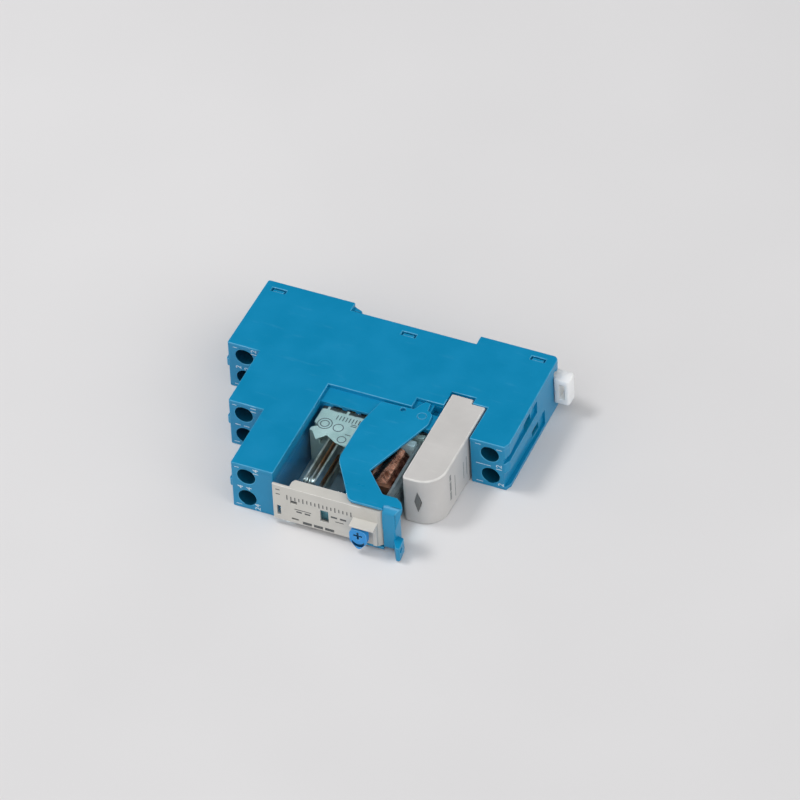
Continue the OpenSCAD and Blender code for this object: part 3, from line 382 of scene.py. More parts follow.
# %% Metals
METAL_GRAIN = 0.6 * MM
METAL_GRAIN_DEPTH = 0.004 * MM
PLATING_CLOUDS = (0.35, 0.68)
ROLLED_ALONG_Y = (6, 0.5, 6)
SILVER_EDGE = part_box("moving_contact_upper")[0].y + 5 * MM
SILVER_FADE = 4 * MM
SILVER_TONE = tone(228, 229, 224)


def plated(name, bright, dull, roughness, stretch=(1, 1, 1), silver_tip=False):
    """Metal with cloudy plating and a rolled or turned grain, silver at the tip if asked."""
    material, tree, shader, place = new_finish(name)
    clouds = levels(tree, grain(tree, place, 2.5 * MM, detail=4), *PLATING_CLOUDS)
    lines = grain(tree, place, METAL_GRAIN, stretch=stretch, detail=4)
    colour = colour_mix(tree, clouds, bright, dull)
    if silver_tip:
        root = levels(tree, axis_value(tree, place, "Y"), SILVER_EDGE, SILVER_EDGE + SILVER_FADE)
        colour = colour_mix(tree, root, SILVER_TONE, colour)
    tree.links.new(colour, shader.inputs["Base Color"])
    shader.inputs["Metallic"].default_value = 0.9
    gloss = levels(tree, lines, *NOISE_SPREAD, roughness - 0.08, roughness + 0.1)
    tree.links.new(gloss, shader.inputs["Roughness"])
    relief(tree, shader, lines, METAL_GRAIN_DEPTH)
    return material


def rolled(name, bright, dull, roughness, silver_tip=False):
    """Plated strip that was rolled along y."""
    return plated(name, bright, dull, roughness, ROLLED_ALONG_Y, silver_tip)


zinc_steel = plated("zinc_steel", tone(196, 198, 200), tone(158, 160, 160), 0.36)
tinned_brass = rolled("tinned_brass", tone(214, 190, 128), tone(178, 150, 90), 0.34)
spring_bronze = rolled(
    "spring_bronze", tone(198, 136, 86), tone(146, 94, 56), 0.34, silver_tip=True
)
contact_silver = rolled(
    "contact_silver", tone(214, 216, 206), tone(168, 172, 160), 0.36, silver_tip=True
)
magnet_iron = rolled("magnet_iron", tone(206, 208, 206), tone(164, 166, 164), 0.34)
spring_steel = rolled("spring_steel", tone(196, 198, 198), tone(148, 150, 150), 0.28)
print("metal finishes made, silver from y", round(SILVER_EDGE / MM, 1), "mm")

# %% [markdown]
# The board inside the module is green solder mask over copper tracks, its resistors are tan with
# coloured bands, and the lamp is a clear epoxy bead. Nothing of it shows while the module is
# closed, but the pieces are there, so they get their own simple patterns.

# %% Module electronics
TRACK_SCALE = (0.0, 0.6 / MM, 0.35 / MM)
TRACK_RANGE = (0.55, 0.62)
TRACK_HEIGHT = 0.03 * MM
BAND_SHARE = 0.045
LAMP_TINT = tone(238, 226, 190)


def board_finish():
    """Solder mask with the copper tracks showing through as lighter stripes."""
    material, tree, shader, place = new_finish("board_green")
    mapping = node_with(tree, "ShaderNodeMapping", {"Vector": place, "Scale": TRACK_SCALE})
    wave = node_with(tree, "ShaderNodeTexWave", {
        "Vector": mapping.outputs["Vector"], "Scale": 0.4, "Distortion": 2.0,
    })
    tracks = levels(tree, wave.outputs["Fac"], *TRACK_RANGE)
    shown = colour_mix(tree, tracks, tone(24, 82, 48), tone(52, 122, 70))
    tree.links.new(shown, shader.inputs["Base Color"])
    shader.inputs["Roughness"].default_value = 0.35
    relief(tree, shader, tracks, TRACK_HEIGHT)
    return material


def resistor_finish():
    """A tan body with four bands across it."""
    material, tree, shader, place = new_finish("resistor_tan")
    low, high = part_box("module_resistor")
    length = high.y - low.y
    along = axis_value(tree, place, "Y")
    colour = tone(206, 178, 132)
    bands = (
        (0.22, tone(120, 62, 30)),
        (0.38, tone(30, 28, 28)),
        (0.54, tone(196, 42, 34)),
        (0.78, tone(186, 148, 62)),
    )
    for spot, band in bands:
        on_band = near(tree, along, low.y + length * spot, length * BAND_SHARE)
        colour = colour_mix(tree, on_band, colour, band)
    tree.links.new(colour, shader.inputs["Base Color"])
    gloss = levels(tree, grain(tree, place, 1 * MM), *NOISE_SPREAD, 0.3, 0.42)
    tree.links.new(gloss, shader.inputs["Roughness"])
    return material


board_green = board_finish()
resistor_tan = resistor_finish()
lamp_epoxy = clear_plastic("lamp_epoxy", LAMP_TINT, LAMP_TINT, 0.12)
print("module finishes made")

# %% [markdown]
# A mould can't make a perfectly sharp corner, and the light line along a rounded edge is what
# makes a plastic part look real. The rounding could be a bevel shader, which a mesh export loses.
# Here a copy of each imported mesh is merged into clean faces, its outward edges get a small
# bevel, and the new strips are marked in an attribute that the finishes use for wear and for a
# painted highlight.

# %% Rounded copies of the imported pieces
MERGE_DISTANCE = 0.001 * MM
CUT_DISTANCE = MERGE_DISTANCE / 10
CUT_DIGITS = 5
SHARP_ANGLE = math.radians(35)
FLAT_ANGLE = math.radians(0.3)
LEVEL_NORMAL = 0.9
CORNER_SLACK = 0.02 * MM
BEVEL_ROOM = 2.2
BEVEL_SEGMENTS = 2
SEAMS = (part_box("lower_cover")[1].z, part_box("upper_cover")[0].z)
SEAM_ROUNDING = 0.3


def flat_patches(work, cut):
    """Lists of faces that lie in one plane and touch, not counting across marked cuts."""
    patches = []
    seen = set()
    for start in work.faces:
        if start in seen:
            continue
        patch = [start]
        seen.add(start)
        for face in patch:
            for edge in face.edges:
                if edge.is_manifold and not edge[cut] and edge.calc_face_angle() < FLAT_ANGLE:
                    fresh = [other for other in edge.link_faces if other not in seen]
                    seen.update(fresh)
                    patch.extend(fresh)
        patches.append(patch)
    return patches


def outlines(patch):
    """The corners of each separate outline of a patch: its outer rim, and one for each hole."""
    members = set(patch)
    edges = {edge for face in patch for edge in face.edges}
    left = {edge for edge in edges if not all(face in members for face in edge.link_faces)}
    found = []
    while left:
        chain = [left.pop()]
        for edge in chain:
            for vert in edge.verts:
                linked = [other for other in vert.link_edges if other in left]
                left.difference_update(linked)
                chain.extend(linked)
        found.append({vert for edge in chain for vert in edge.verts})
    return found


def cut_through_holes(work, cut):
    """Cuts each flat patch with holes in straight lines through them, and marks the cuts."""
    for patch in flat_patches(work, cut):
        rims = outlines(patch)
        if len(rims) == 1:
            continue
        normal = patch[0].normal.copy()
        is_level = abs(normal.z) > LEVEL_NORMAL
        across = normal.orthogonal() if is_level else normal.cross(Vector((0, 0, 1)))
        across.normalize()
        spans = [[across.dot(vert.co) for vert in rim] for rim in rims]
        outer = max(spans, key=lambda span: max(span) - min(span))
        middles = [(max(span) + min(span)) / 2 for span in spans if span is not outer]
        faces = set(patch)
        for place in sorted({round(middle, CUT_DIGITS) for middle in middles}):
            parts = list(faces | {edge for face in faces for edge in face.edges})
            parts += list({vert for face in faces for vert in face.verts})
            result = bmesh.ops.bisect_plane(
                work, geom=parts, plane_co=across * place, plane_no=across, dist=CUT_DISTANCE
            )
            for part in result["geom_cut"]:
                if isinstance(part, bmesh.types.BMEdge):
                    part[cut] = 1
            faces = {part for part in result["geom"] if isinstance(part, bmesh.types.BMFace)}


def join_triangles(work):
    """Makes whole flat faces of a mesh of triangles, with no vertex left along a straight edge."""
    cut = work.edges.layers.int.new("cut")
    cut_through_holes(work, cut)
    for patch in flat_patches(work, cut):
        if len(patch) > 1 and len(outlines(patch)) == 1:
            bmesh.ops.dissolve_faces(work, faces=patch)
    bmesh.ops.dissolve_verts(work, verts=[vert for vert in work.verts if len(vert.link_edges) == 2])


def crowded(edge, outward, reach):
    """The outward edges that crowd this one: its own faces have a corner of theirs too near it."""
    start, end = (vert.co for vert in edge.verts)
    along = (end - start).normalized()
    found = set()
    for face in edge.link_faces:
        for vert in face.verts:
            if vert in edge.verts:
                continue
            offset = vert.co - start
            spot = offset.dot(along)
            inside = -CORNER_SLACK < spot < (end - start).length + CORNER_SLACK
            if inside and (offset - along * spot).length < reach:
                found.update(other for other in vert.link_edges if other in outward)
                found.add(edge)
    return found


def on_seam(edge):
    """Whether an edge lies where the socket's body meets one of its covers."""
    return any(all(abs(vert.co.z - seam) < CORNER_SLACK for vert in edge.verts) for seam in SEAMS)


def mark_outer_edges(mesh, radius):
    """Joins triangles into whole faces and marks outward edges for the bevel, seams for less."""
    work = bmesh.new()
    work.from_mesh(mesh)
    bmesh.ops.remove_doubles(work, verts=work.verts, dist=MERGE_DISTANCE)
    join_triangles(work)
    weight = work.edges.layers.float.new("bevel_weight_edge")
    outward = {
        edge
        for edge in work.edges
        if edge.is_manifold and edge.is_convex and edge.calc_face_angle() > SHARP_ANGLE
    }
    tight = set()
    for edge in outward:
        tight |= crowded(edge, outward, radius * BEVEL_ROOM)
    for edge in outward - tight:
        edge[weight] = SEAM_ROUNDING if on_seam(edge) else 1.0
    work.to_mesh(mesh)
    work.free()


def apply_modifiers(holder, name):
    """The holder's shape with its modifiers worked in, as a plain object at the origin."""
    bpy.context.view_layer.update()
    graph = bpy.context.evaluated_depsgraph_get()
    mesh = bpy.data.meshes.new_from_object(
        holder.evaluated_get(graph), preserve_all_data_layers=True, depsgraph=graph
    )
    mesh.name = name
    piece = bpy.data.objects.new(name, mesh)
    bpy.context.scene.collection.objects.link(piece)
    bpy.data.objects.remove(holder)
    return piece


def rounded(node, radius, finish):
    """A copy of a node with rounded edges, which stands for the node and rides on its body."""
    mesh = nodes[node].data.copy()
    if "custom_normal" in mesh.attributes:
        mesh.attributes.remove(mesh.attributes["custom_normal"])
    mark_outer_edges(mesh, radius)
    # The second slot only tells the bevel's faces from the others, and it goes again below.
    mesh.materials.clear()
    mesh.materials.append(finish)
    mesh.materials.append(finish)
    mesh.polygons.foreach_set("use_smooth", [True] * len(mesh.polygons))
    mesh.polygons.foreach_set("material_index", [0] * len(mesh.polygons))
    mesh.set_sharp_from_angle(angle=SHARP_ANGLE)
    holder = bpy.data.objects.new(node + "_holder", mesh)
    bpy.context.scene.collection.objects.link(holder)
    bevel = holder.modifiers.new("rounding", "BEVEL")
    bevel.limit_method = "WEIGHT"
    bevel.width = radius
    bevel.segments = BEVEL_SEGMENTS
    bevel.material = 1
    bevel.use_clamp_overlap = False
    bevel.harden_normals = True
    piece = apply_modifiers(holder, node + "_moulding")
    # The bevel's faces are marked, for edge wear and a painted highlight in the finishes.
    edge = piece.data.attributes.new("edge", "FLOAT", "FACE")
    edge.data.foreach_set("value", [float(face.material_index) for face in piece.data.polygons])
    piece.data.polygons.foreach_set("material_index", [0] * len(piece.data.polygons))
    piece.data.materials.pop()
    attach(piece, carrier_body[node])
    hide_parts(node)
    return piece


ROUNDED_PIECES = (
    ("socket_body", 0.16 * MM, socket_blue, "socket_blue"),
    ("upper_cover", 0.2 * MM, socket_blue, "socket_blue"),
    ("lower_cover", 0.2 * MM, socket_blue, "socket_blue"),
    ("retaining_clip", 0.15 * MM, clip_blue, "clip_blue"),
    ("rail_latch", 0.2 * MM, latch_milky, "latch_white"),
    ("relay_cap", 0.12 * MM, cap_white, "cap_white"),
    ("relay_case", 0.15 * MM, case_clear, "clear_case"),
    ("relay_base", 0.12 * MM, base_finish, "pale_moulding"),
    ("coil_bobbin", 0.1 * MM, bobbin_finish, "pale_moulding"),
    ("contact_card", 0.08 * MM, card_painted_shade, "pale_moulding"),
    ("flag_indicator", 0.06 * MM, flag_teal, "flag_teal"),
    ("test_plunger", 0.08 * MM, button_blue, "clip_blue"),
    ("test_button", 0.08 * MM, button_blue, "clip_blue"),
    ("module_case", 0.45 * MM, module_white, "cap_white"),
    ("module_base", 0.15 * MM, base_grey, "grey_plastic"),
    ("module_lens", 0.05 * MM, lens_grey, "grey_plastic"),
)
for node, radius, finish, slot in ROUNDED_PIECES:
    piece = rounded(node, radius, finish)
    print(piece.name, len(piece.data.polygons), "faces")

# %% [markdown]
# The eight screw holes are deep and narrow, so hardly any light comes back out of them, and the
# plastic inside looks nearly black. The cross cut into the test button does the same on a small
# scale. So the walls of both are marked in an attribute, and the blue finish paints shade on them.

# %% Painted shade in the holes and the button's cross
HOLE_RADIUS = 2.7 * MM
HOLE_RIM = 0.3 * MM
HEAD_RECESS = 6 * MM
CROSS_RIM = 0.2 * MM
CROSS_DEPTH = 0.6 * MM
CROSS_SLACK = 0.1 * MM
TIERS = (("nc", "12", "22"), ("com", "11", "21"), ("no", "14", "24"), ("coil", "1", "2"))


def hole_place(terminal, side):
    """The axis of a screw hole in x and z, and the y of its tier's front."""
    low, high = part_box(terminal + "_screw_" + side)
    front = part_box(terminal + "_screw_upper")[0].y - HEAD_RECESS
    return (low.x + high.x) / 2, (low.z + high.z) / 2, front


holes = [hole_place(terminal, side) for terminal, _, _ in TIERS for side in ("upper", "lower")]
button_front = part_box("test_button")[0].y


def in_hole(centre):
    """Whether a face's centre lies on the wall of a screw hole."""
    return any(
        math.hypot(centre.x - x, centre.z - z) < HOLE_RADIUS and centre.y > front + HOLE_RIM
        for x, z, front in holes
    )


def in_cross(centre):
    """Whether a face's centre lies on the walls or the floor of what is cut into the button."""
    return CROSS_RIM < centre.y - button_front < CROSS_DEPTH + CROSS_SLACK


# Faces of the screw holes and of the button's cross are marked for painted shade.
for node, is_shaded in (("socket_body", in_hole), ("test_button", in_cross)):
    mesh = bpy.data.objects[node + "_moulding"].data
    painted_shade = [float(is_shaded(face.center)) for face in mesh.polygons]
    mesh.attributes.new("painted_shade", "FLOAT", "FACE").data.foreach_set("value", painted_shade)
    print(node, "faces darkened:", int(sum(painted_shade)))

# %% [markdown]
# The coil is one enamelled copper wire wound in even turns on its bobbin. A cylinder with a
# striped texture would do from afar, but close by the wire shows, so Geometry Nodes lay a real
# spiral between the flanges and sweep a round wire along it. Its sizes are the tree's inputs.

# %% Wound coil
WIRE_DIAMETER = 0.26 * MM
WIRE_PITCH = 0.29 * MM
WINDING_NOISE = 0.06 * MM
WOBBLE_SCALE = 700.0
POINTS_PER_TURN = 32
WIRE_SIDES = 8
CORE_SIDES = 48


def winding_tree():
    """A wire swept along a spiral over a plain core of inner layers."""
    tree = bpy.data.node_groups.new("wound_wire", "GeometryNodeTree")
    inputs = (
        ("Turns", "NodeSocketFloat"),
        ("Radius", "NodeSocketFloat"),
        ("Length", "NodeSocketFloat"),
        ("Wire radius", "NodeSocketFloat"),
        ("Unevenness", "NodeSocketFloat"),
        ("Start", "NodeSocketVector"),
        ("Finish", "NodeSocketMaterial"),
    )
    for label, kind in inputs:
        tree.interface.new_socket(label, in_out="INPUT", socket_type=kind)
    tree.interface.new_socket("Winding", in_out="OUTPUT", socket_type="NodeSocketGeometry")
    given = tree.nodes.new("NodeGroupInput").outputs
    spiral = node_with(tree, "GeometryNodeCurveSpiral", {
        "Resolution": POINTS_PER_TURN,
        "Rotations": given["Turns"],
        "Start Radius": given["Radius"],
        "End Radius": given["Radius"],
        "Height": given["Length"],
    })
    wobble = node_with(tree, "ShaderNodeTexNoise", {"Scale": WOBBLE_SCALE})
    centred = node_with(tree, "ShaderNodeVectorMath", {
        0: wobble.outputs["Color"], 1: (0.5, 0.5, 0.5),
    }, "SUBTRACT")
    scaled = node_with(tree, "ShaderNodeVectorMath", {
        0: centred.outputs["Vector"], "Scale": given["Unevenness"],
    }, "SCALE")
    shaken = node_with(tree, "GeometryNodeSetPosition", {
        "Geometry": spiral.outputs["Curve"], "Offset": scaled.outputs["Vector"],
    })
    profile = node_with(tree, "GeometryNodeCurvePrimitiveCircle", {
        "Resolution": WIRE_SIDES, "Radius": given["Wire radius"],
    })
    wire = node_with(tree, "GeometryNodeCurveToMesh", {
        "Curve": shaken.outputs["Geometry"],
        "Profile Curve": profile.outputs["Curve"],
        "Fill Caps": True,
    })
    layers = node_with(tree, "GeometryNodeMeshCylinder", {
        "Vertices": CORE_SIDES, "Radius": given["Radius"], "Depth": given["Length"],
    })
    half = node_with(tree, "ShaderNodeMath", {0: given["Length"], 1: 0.5}, "MULTIPLY")
    middle = node_with(tree, "ShaderNodeCombineXYZ", {"Z": half.outputs["Value"]})
    core = node_with(tree, "GeometryNodeTransform", {
        "Geometry": layers.outputs["Mesh"], "Translation": middle.outputs["Vector"],
    })
    both = node_with(tree, "GeometryNodeJoinGeometry", {"Geometry": core.outputs["Geometry"]})
    tree.links.new(wire.outputs["Mesh"], both.inputs["Geometry"])
    laid = node_with(tree, "GeometryNodeTransform", {
        "Geometry": both.outputs["Geometry"],
        "Rotation": (math.radians(-90), 0, 0),
        "Translation": given["Start"],
    })
    smooth = node_with(tree, "GeometryNodeSetShadeSmooth", {"Geometry": laid.outputs["Geometry"]})
    whole = node_with(tree, "GeometryNodeRealizeInstances", {
        "Geometry": smooth.outputs["Geometry"],
    })
    finish = node_with(tree, "GeometryNodeSetMaterial", {
        "Geometry": whole.outputs["Geometry"], "Material": given["Finish"],
    })
    node_with(tree, "NodeGroupOutput", {"Winding": finish.outputs["Geometry"]})
    return tree


def node_made(name, tree, values):
    """A piece made by a node tree, with its inputs set by their identifiers."""
    holder = bpy.data.objects.new(name + "_holder", bpy.data.meshes.new(name + "_holder"))
    bpy.context.scene.collection.objects.link(holder)
    modifier = holder.modifiers.new("made", "NODES")
    modifier.node_group = tree
    for item in tree.interface.items_tree:
        if item.in_out == "INPUT":
            modifier[item.identifier] = values[item.name]
    return apply_modifiers(holder, name)


def enamelled_copper():
    """Copper wire under amber enamel, with a bright line on each turn."""
    material, tree, shader, place = new_finish("enamelled_copper")
    clouds = levels(tree, grain(tree, place, 1.2 * MM, detail=3), *NOISE_CORE)
    shown = colour_mix(tree, clouds, tone(236, 168, 138), tone(140, 78, 54))
    tree.links.new(shown, shader.inputs["Base Color"])
    shader.inputs["Metallic"].default_value = 1.0
    tree.links.new(levels(tree, clouds, 0, 1, 0.08, 0.16), shader.inputs["Roughness"])
    shader.inputs["Coat Weight"].default_value = 0.3
    return material


wire_finish = enamelled_copper()
wind_low, wind_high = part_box("coil_winding")
wind_length = wind_high.y - wind_low.y - WIRE_DIAMETER - WINDING_NOISE
wind_radius = (wind_high.x - wind_low.x) / 2 - WIRE_DIAMETER / 2 - WINDING_NOISE
winding = node_made("coil_wire", winding_tree(), {
    "Turns": wind_length / WIRE_PITCH,
    "Radius": wind_radius,
    "Length": wind_length,
    "Wire radius": WIRE_DIAMETER / 2,
    "Unevenness": WINDING_NOISE,
    "Start": Vector((
        (wind_low.x + wind_high.x) / 2,
        wind_low.y + (WIRE_DIAMETER + WINDING_NOISE) / 2,
        (wind_low.z + wind_high.z) / 2,
    )),
    "Finish": wire_finish,
})
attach(winding, carrier_body["coil_winding"])
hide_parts("coil_winding")
print("wound coil:", round(wind_length / WIRE_PITCH), "turns,", len(winding.data.polygons), "faces")

# %% [markdown]
# The terminal fronts carry white pad-printed numbers and thin lines. They read along the
# socket's thickness, because the socket is mounted upright with its left end on top. A decal
# would need an image, so the figures are real letters: text turned into thin mesh, each laid on
# its tier's front.

# %% Printed numbers and lines
INK_THICKNESS = 0.02 * MM
INK_LIFT = INK_THICKNESS / 4
INK_SPREAD = 0.02 * MM
INK_RANGE = (0.35, 0.6)
LETTER_SHARE = 0.7
CURVE_STEPS = 4
FIGURE_HEIGHT = 1.6 * MM
FIGURE_X = 2.95
FIGURE_RISE = 2.45 * MM
FIGURE_DROP = 2.5 * MM
MIDDLE_DROP = 0.3 * MM
LINE_WIDTH = 0.2 * MM
LINE_REACH = 2.9 * MM
SHORT_REACH = 2.8 * MM


def print_ink(name, thin_tone, full_tone):
    """Pad-printed ink, slightly thin in places."""
    material, tree, shader, place = new_finish(name)
    full = levels(tree, grain(tree, place, 0.5 * MM, detail=3), *INK_RANGE)
    tree.links.new(colour_mix(tree, full, thin_tone, full_tone), shader.inputs["Base Color"])
    shader.inputs["Roughness"].default_value = 0.5
    return material


def figure(text, height):
    """A text as flat mesh, its middle at the origin, with the given letter height."""
    curve = bpy.data.curves.new("figure_" + text, "FONT")
    curve.body = text
    curve.align_x = "CENTER"
    curve.align_y = "CENTER"
    curve.size = height / LETTER_SHARE
    curve.offset = INK_SPREAD
    curve.resolution_u = CURVE_STEPS
    curve.extrude = INK_THICKNESS / 2
    holder = bpy.data.objects.new("figure_holder", curve)
    bpy.context.scene.collection.objects.link(holder)
    piece = apply_modifiers(holder, "figure_mesh")
    mesh = piece.data
    bpy.data.objects.remove(piece)
    return mesh


def stroke(length, width):
    """A thin printed line as a flat block, its middle at the origin."""
    work = bmesh.new()
    bmesh.ops.create_cube(work, size=1.0)
    bmesh.ops.scale(work, vec=(length, width, INK_THICKNESS), verts=work.verts)
    mesh = bpy.data.meshes.new("stroke")
    work.to_mesh(mesh)
    work.free()
    return mesh


def joined(name, parts, finish):
    """Placed meshes joined into one piece at the origin."""
    work = bmesh.new()
    for mesh, matrix in parts:
        placed = mesh.copy()
        placed.transform(matrix)
        work.from_mesh(placed)
        bpy.data.meshes.remove(placed)
    mesh = bpy.data.meshes.new(name)
    work.to_mesh(mesh)
    work.free()
    mesh.materials.clear()
    mesh.materials.append(finish)
    mesh.polygons.foreach_set("material_index", [0] * len(mesh.polygons))
    piece = bpy.data.objects.new(name, mesh)
    bpy.context.scene.collection.objects.link(piece)
    return piece


def on_front(x, front, z, upright):
    """A place on a face that looks along -y: letters stand along -x, or along z if upright."""
    out = Vector((0, -1, 0))
    up = Vector((0, 0, 1)) if upright else Vector((-1, 0, 0))
    right = up.cross(out)
    turn = Matrix((right, up, out)).transposed().to_4x4()
    return Matrix.Translation((x, front - INK_LIFT, z)) @ turn


def tier_marks(terminal, upper_text, lower_text, upper_z, lower_z):
    """Figures as (text, x, z) and lines as (length, x, z), x from the hole and length in mm."""
    middle_z = (upper_z + lower_z) / 2 - MIDDLE_DROP
    figures = [
        (upper_text, FIGURE_X, upper_z + FIGURE_RISE),
        (lower_text, FIGURE_X, lower_z - FIGURE_DROP),
    ]
    if terminal == "coil":
        figures.append(("12", 2.6, middle_z))
        lines = [
            (1.6, -3.3, upper_z + LINE_REACH),
            (4.3, -1.95, middle_z),
            (1.9, -3.2, lower_z - LINE_REACH),
        ]
    else:
        figures += [(upper_text[1], -1.8, middle_z), (lower_text[1], 0.7, middle_z)]
        lines = [(1.2, -2.6, upper_z + SHORT_REACH), (1.6, -2.5, lower_z - LINE_REACH)]
    return figures, lines


ink_parts = []
for terminal, upper_text, lower_text in TIERS:
    hole_x, upper_z, front = hole_place(terminal, "upper")
    lower_z = hole_place(terminal, "lower")[1]
    figures, lines = tier_marks(terminal, upper_text, lower_text, upper_z, lower_z)
    for text, x, z in figures:
        place = on_front(hole_x + x * MM, front, z, upright=False)
        ink_parts.append((figure(text, FIGURE_HEIGHT), place))
    for length, x, z in lines:
        place = on_front(hole_x + x * MM, front, z, upright=True)
        ink_parts.append((stroke(length * MM, LINE_WIDTH), place))
white_ink = print_ink("print_white", tone(150, 190, 214), tone(208, 224, 234))
terminal_print = joined("terminal_print", ink_parts, white_ink)
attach(terminal_print, "socket")
print("printed figures:", len(terminal_print.data.polygons), "faces")

# %% [markdown]
# The relay's cap, the carrier under its clear case and the module's side are printed in grey.
# What stands there on such relays names a product or an approval, so only plain marks are printed
# here: a row of ticks, bars of grey, rings and short lines. Like the numbers, they are thin blocks
# of ink laid on the surface, because a texture would need an image. The lists give places and
# sizes in mm.

# %% Plain marks on the relay and the module
CAP_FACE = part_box("relay_case")[0].y - 0.85 * MM
RECESS_FLOOR = CAP_FACE + 0.4 * MM
CARRIER_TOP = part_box("relay_base")[1].z
MODULE_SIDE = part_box("module_case")[1].x
RING_SEGMENTS = 32
CARRIER_LINE_WIDTH = 0.28 * MM
TICK_COUNT = 17
TICK_PITCH = 1.15
TICK_START = -7.7
TICK_ROW = 10.5
TICK_WIDTH = 0.3
LONG_TICK = 1.7
SHORT_TICK = 1.2
TICKS_PER_LONG = 4
STRIPE_COUNT = 8
STRIPE_PITCH = 0.9
STRIPE_START = -6.1
STRIPE_ROW = -37
STRIPE_WIDTH = 0.3 * MM
STRIPE_LENGTH = 1.7 * MM


def ring(diameter, width):
    """A flat printed ring, its middle at the origin."""
    outer = diameter / 2
    inner = outer - width
    half = INK_THICKNESS / 2
    profile = ((outer, -half), (outer, half), (inner, half), (inner, -half))
    work = bmesh.new()
    cuts = []
    for i in range(RING_SEGMENTS):
        angle = 2 * math.pi * i / RING_SEGMENTS
        across = Vector((math.cos(angle), math.sin(angle), 0))
        cuts.append([work.verts.new(across * radius + Vector((0, 0, z))) for radius, z in profile])
    for cut, after in zip(cuts, cuts[1:] + cuts[:1]):
        for j in range(len(profile)):
            work.faces.new((cut[j - 1], after[j - 1], after[j], cut[j]))
    mesh = bpy.data.meshes.new("ring")
    work.to_mesh(mesh)
    work.free()
    return mesh


def cap_bars(bars, front):
    """Bars given as (x, z, length, height) in mm, laid on a face of the cap."""
    return [
        (stroke(length * MM, height * MM), on_front(x * MM, front, z * MM, upright=True))
        for x, z, length, height in bars
    ]


def on_carrier(x, y):
    """A place on top of the contact carrier, given in mm."""
    return Matrix.Translation((x * MM, y * MM, CARRIER_TOP + INK_LIFT))


def on_module(y, z):
    """A place on the module's right side, given in mm, with a stroke's length along z."""
    turn = Matrix(((0, 0, 1), (0, -1, 0), (1, 0, 0))).transposed().to_4x4()
    return Matrix.Translation((MODULE_SIDE + INK_LIFT, y * MM, z * MM)) @ turn


ticks = []
for i in range(TICK_COUNT):
    height = SHORT_TICK if i % TICKS_PER_LONG else LONG_TICK
    ticks.append((TICK_START + TICK_PITCH * i, TICK_ROW, TICK_WIDTH, height))
SMALL_BARS = (
    (-3.3, 6.9, 4.8, 0.25),
    (-4.4, 6.1, 1.6, 0.5),
    (-2.0, 6.1, 1.6, 0.5),
    (5.7, 7.7, 1.8, 0.6),
    (8.3, 7.7, 1.8, 0.6),
    (7.2, 6.3, 2.4, 0.25),
)
BOLD_BARS = (
    (-2.2, 2.6, 2.6, 0.9),
    (1.0, 2.6, 2.6, 0.9),
    (4.2, 2.6, 2.6, 0.9),
    (-10.3, 12.5, 1.2, 0.3),
    (-10.3, 10.9, 1.2, 0.3),
)
RECESS_BARS = ((-5.95, 9.15, 1.9, 1.0), (-5.75, 3.05, 1.9, 0.6))
grey_ink = print_ink("print_grey", tone(96, 99, 100), tone(66, 69, 71))
cap_parts = cap_bars((*ticks, *SMALL_BARS, *BOLD_BARS), CAP_FACE)
cap_print = joined("cap_print", cap_parts + cap_bars(RECESS_BARS, RECESS_FLOOR), grey_ink)
RINGS = ((-8.3, -40.3, 4.2), (-8.3, -40.3, 2.6), (-4.3, -40.6, 3.0), (-1.7, -44.4, 2.6))
CARRIER_LINES = ((-0.8, -42.3, 1.6), (-0.7, -38.9, 1.6), (-0.7, -38.3, 1.6))
carrier_parts = []
for x, y, size in RINGS:
    carrier_parts.append((ring(size * MM, CARRIER_LINE_WIDTH), on_carrier(x, y)))
for x, y, size in CARRIER_LINES:
    carrier_parts.append((stroke(size * MM, CARRIER_LINE_WIDTH), on_carrier(x, y)))
for i in range(STRIPE_COUNT):
    place = on_carrier(STRIPE_START + STRIPE_PITCH * i, STRIPE_ROW)
    carrier_parts.append((stroke(STRIPE_WIDTH, STRIPE_LENGTH), place))
carrier_print = joined("carrier_print", carrier_parts, grey_ink)
SIDE_BARS = (
    (-45.9, 11.6, 2.0, 1.0),
    (-45.9, 8.6, 3.2, 1.0),
    (-45.9, 5.2, 2.8, 1.0),
    (-43.0, 6.4, 7.4, 0.35),
    (-37.4, 6.9, 6.0, 0.3),
    (-35.4, 6.9, 6.4, 0.3),
)
side_parts = [
    (stroke(length * MM, width * MM), on_module(y, z)) for y, z, length, width in SIDE_BARS
]
pale_ink = print_ink("print_pale", tone(146, 148, 148), tone(118, 120, 120))
module_print = joined("module_print", side_parts, pale_ink)
for piece, node in (
    (cap_print, "relay_cap"), (carrier_print, "relay_base"), (module_print, "module_case"),
):
    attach(piece, carrier_body[node])
    print(piece.name, len(piece.data.polygons), "faces")

# %% [markdown]
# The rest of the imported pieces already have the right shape: strips, clamps, screws, pins and
# the magnet's iron. They stay as they are and only take their finishes. Where two rows of the
# list fit a name, as with the armature's spring, the later one stays.

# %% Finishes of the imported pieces
PLAIN_FINISHES = (
    (("_screw_", "_clamp_"), zinc_steel),
    (("_strip_", "_pin_", "module_pins"), tinned_brass),
    (("moving_contact",), spring_bronze),
    (("no_contact", "nc_contact"), contact_silver),
    (("coil_core", "yoke", "armature"), magnet_iron),
    (("armature_spring",), spring_steel),
    (("module_board",), board_green),
    (("module_led",), lamp_epoxy),
    (("module_resistor",), resistor_tan),
)
dressed = 0
for name, node in nodes.items():
    for words, finish in PLAIN_FINISHES:
        if any(word in name for word in words) and not node.hide_render:
            node.data.materials.clear()
            node.data.materials.append(finish)
            dressed += 1
print("finishes set:", dressed)

# %% [markdown]
# The object lies on a pale glossy table in a room that is bright all round, apart from one dark
# end behind it on the left. The upper faces mirror that dark end and stay deep blue, while the
# fronts mirror the pale table. The floor is far larger than the picture, so no horizon shows, and
# its own colour makes the background. A picture of a studio could light the scene, but one angle
# measured from the dark end does the same.

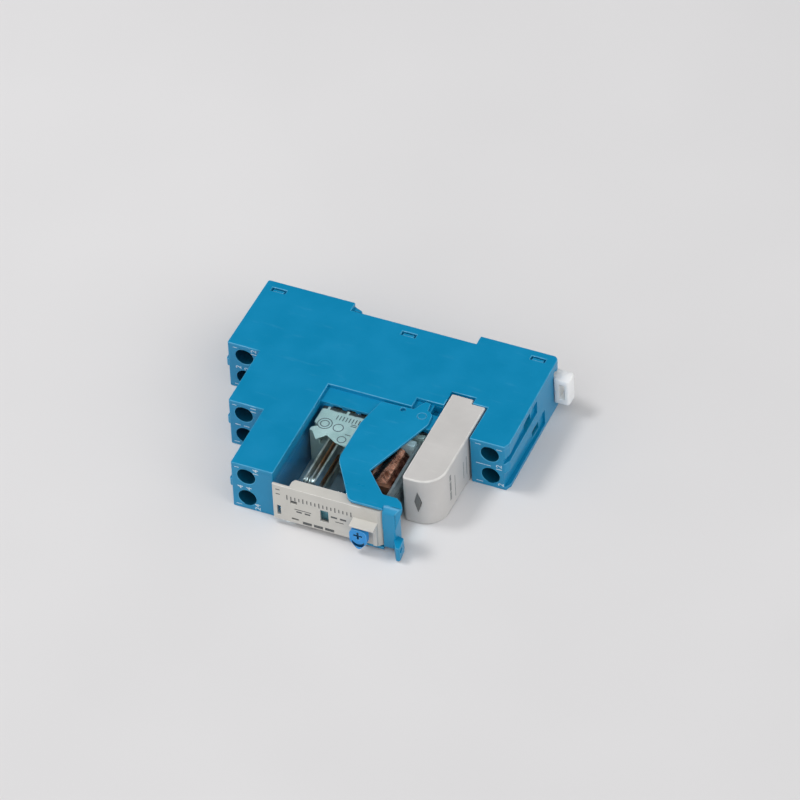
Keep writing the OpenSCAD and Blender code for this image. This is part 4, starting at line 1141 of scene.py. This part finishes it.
# %% Floor and light
FLOOR_GAP = 0.02 * MM
FLOOR_RADIUS = 2.0
FLOOR_SEGMENTS = 96
SKY_STRENGTH = 1.0
DARK_END = Vector((-0.31, 0.65, 0.69))
DARK_STRENGTH = 0.06
DARK_EDGE = math.radians(58)
DARK_CORE = math.radians(26)


def table_finish():
    """White lacquered board, faintly uneven."""
    material, tree, shader, place = new_finish("table_white")
    clouds = levels(tree, grain(tree, place, 90 * MM, detail=2), *NOISE_SPREAD)
    shown = colour_mix(tree, clouds, tone(221, 220, 221), tone(225, 224, 225))
    tree.links.new(shown, shader.inputs["Base Color"])
    shader.inputs["Roughness"].default_value = 0.35
    shader.inputs["Specular IOR Level"].default_value = 0.3
    return material


floor_mesh = bpy.data.meshes.new("table_top")
floor_work = bmesh.new()
bmesh.ops.create_circle(
    floor_work, cap_ends=True, segments=FLOOR_SEGMENTS, radius=FLOOR_RADIUS
)
floor_work.to_mesh(floor_mesh)
floor_work.free()
floor_mesh.transform(Matrix.Translation((0, 0, -FLOOR_GAP)))
floor_mesh.materials.append(table_finish())
table_top = bpy.data.objects.new("table_top", floor_mesh)
bpy.context.scene.collection.objects.link(table_top)

world = bpy.data.worlds.new("studio")
world.use_nodes = True
bpy.context.scene.world = world
sky_tree = world.node_tree
sky = sky_tree.nodes["Background"]
sky.inputs["Color"].default_value = (1, 1, 1, 1)
towards_dark = node_with(sky_tree, "ShaderNodeVectorMath", {
    0: sky_tree.nodes.new("ShaderNodeTexCoord").outputs["Generated"], 1: DARK_END.normalized(),
}, "DOT_PRODUCT").outputs["Value"]
strength = levels(
    sky_tree, towards_dark, math.cos(DARK_EDGE), math.cos(DARK_CORE), SKY_STRENGTH, DARK_STRENGTH
)
sky_tree.links.new(strength, sky.inputs["Strength"])


def softbox(name, place, size, power):
    """A square soft lamp that looks at the middle of the object."""
    data = bpy.data.lights.new(name, "AREA")
    data.size = size
    data.energy = power
    lamp = bpy.data.objects.new(name, data)
    lamp.location = place
    lamp.rotation_mode = "QUATERNION"
    lamp.rotation_quaternion = (AIM_POINT - lamp.location).to_track_quat("-Z", "Y")
    bpy.context.scene.collection.objects.link(lamp)
    return lamp


softbox("overhead", place=Vector((-0.45, -0.1, 0.95)), size=0.25, power=3.6)
softbox("right_fill", place=Vector((0.8, -0.3, 0.55)), size=0.4, power=0.8)
bpy.context.scene.view_settings.view_transform = "Standard"
print("floor, world and lamps ready")
